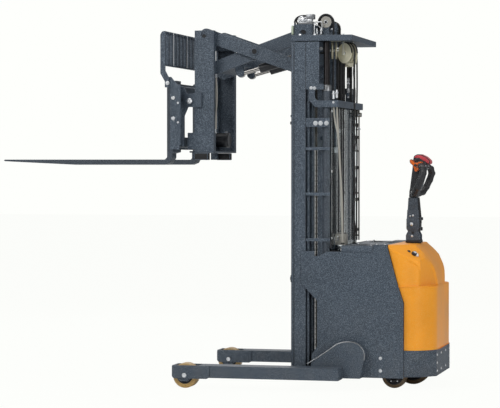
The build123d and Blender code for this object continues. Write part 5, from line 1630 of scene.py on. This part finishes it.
class TRUCK_OT_stage(bpy.types.Operator):
    """Set the floor, the soft studio light and the camera"""

    bl_idname = "truck.stage"
    bl_label = "Stage"

    def execute(self, context):
        scene = context.scene
        scene.view_settings.view_transform = "Standard"
        world = bpy.data.worlds.new("Studio")
        scene.world = world
        world.use_nodes = True
        tree = world.node_tree
        soft = feed(tree, tree.nodes["Background"], {"Color": (0.93, 0.96, 1.0, 1.0), "Strength": 0.3})
        feed(tree, tree.nodes["World Output"], {"Surface": lit_white(tree, soft.outputs[0], 1.0)})

        reach = FLOOR_REACH
        corners = [(-reach, -reach, 0), (reach, -reach, 0), (reach, reach, 0), (-reach, reach, 0)]
        floor = mesh_object("floor", corners, [], [(0, 1, 2, 3)])
        tree, shader = new_finish("floor", 0.9)
        pale = remap(tree, noise_node(tree, 0.7, 2.0), 0.3, 0.7)
        grey = blend_colour(tree, pale, srgb(246, 247, 246), srgb(243, 244, 244))
        feed(tree, shader, {"Base Color": grey})
        shown = lit_white(tree, shader.outputs[0], 0.97)
        feed(tree, tree.nodes["Material Output"], {"Surface": shown})
        floor.data.materials.append(FINISHES["floor"])

        for name, (place, width, height, power) in LAMPS.items():
            light = bpy.data.lights.new(name, "AREA")
            light.shape = "RECTANGLE"
            light.size = width
            light.size_y = height
            light.energy = power
            aim(new_object(name, light), place, LAMP_TARGET - Vector(place))

        lens = bpy.data.cameras.new("camera")
        lens.sensor_fit = "HORIZONTAL"
        lens.sensor_width = 36.0
        lens.lens = CAMERA_LENS
        lens.clip_end = 100.0
        level = cos(CAMERA_PITCH)
        sight = Vector((sin(CAMERA_YAW) * level, -cos(CAMERA_YAW) * level, -sin(CAMERA_PITCH)))
        scene.camera = new_object("camera", lens)
        aim(scene.camera, CAMERA_PLACE, sight)
        return {"FINISHED"}


# ---------------------------------------------------------------- panel and registration


OPERATORS = (
    TRUCK_OT_finishes, TRUCK_OT_bodywork, TRUCK_OT_hood, TRUCK_OT_tiller, TRUCK_OT_chains,
    TRUCK_OT_sheaves, TRUCK_OT_wheels, TRUCK_OT_fasteners, TRUCK_OT_mast_hoses,
    TRUCK_OT_reach_fittings, TRUCK_OT_mast_details, TRUCK_OT_carriage_details,
    TRUCK_OT_body_details, TRUCK_OT_stage,
)


class TRUCK_PT_panel(bpy.types.Panel):
    """Lists the pieces of the truck and their sizes"""

    bl_idname = "TRUCK_PT_panel"
    bl_label = "Reach Truck"
    bl_space_type = "VIEW_3D"
    bl_region_type = "UI"
    bl_category = "Reach Truck"

    def draw(self, context):
        for settings in (context.scene.truck_paint, context.scene.truck_sizes):
            for name in type(settings).__annotations__:
                self.layout.prop(settings, name)
        for operator in OPERATORS:
            self.layout.operator(operator.bl_idname)


CLASSES = (PaintSettings, SizeSettings, *OPERATORS, TRUCK_PT_panel)


def register():
    for cls in CLASSES:
        bpy.utils.register_class(cls)
    bpy.types.Scene.truck_paint = bpy.props.PointerProperty(type=PaintSettings)
    bpy.types.Scene.truck_sizes = bpy.props.PointerProperty(type=SizeSettings)


def unregister():
    del bpy.types.Scene.truck_sizes
    del bpy.types.Scene.truck_paint
    for cls in reversed(CLASSES):
        bpy.utils.unregister_class(cls)


def main():
    register()
    for operator in OPERATORS:
        group, name = operator.bl_idname.split(".")
        getattr(getattr(bpy.ops, group), name)()


if __name__ == "__main__":
    main()
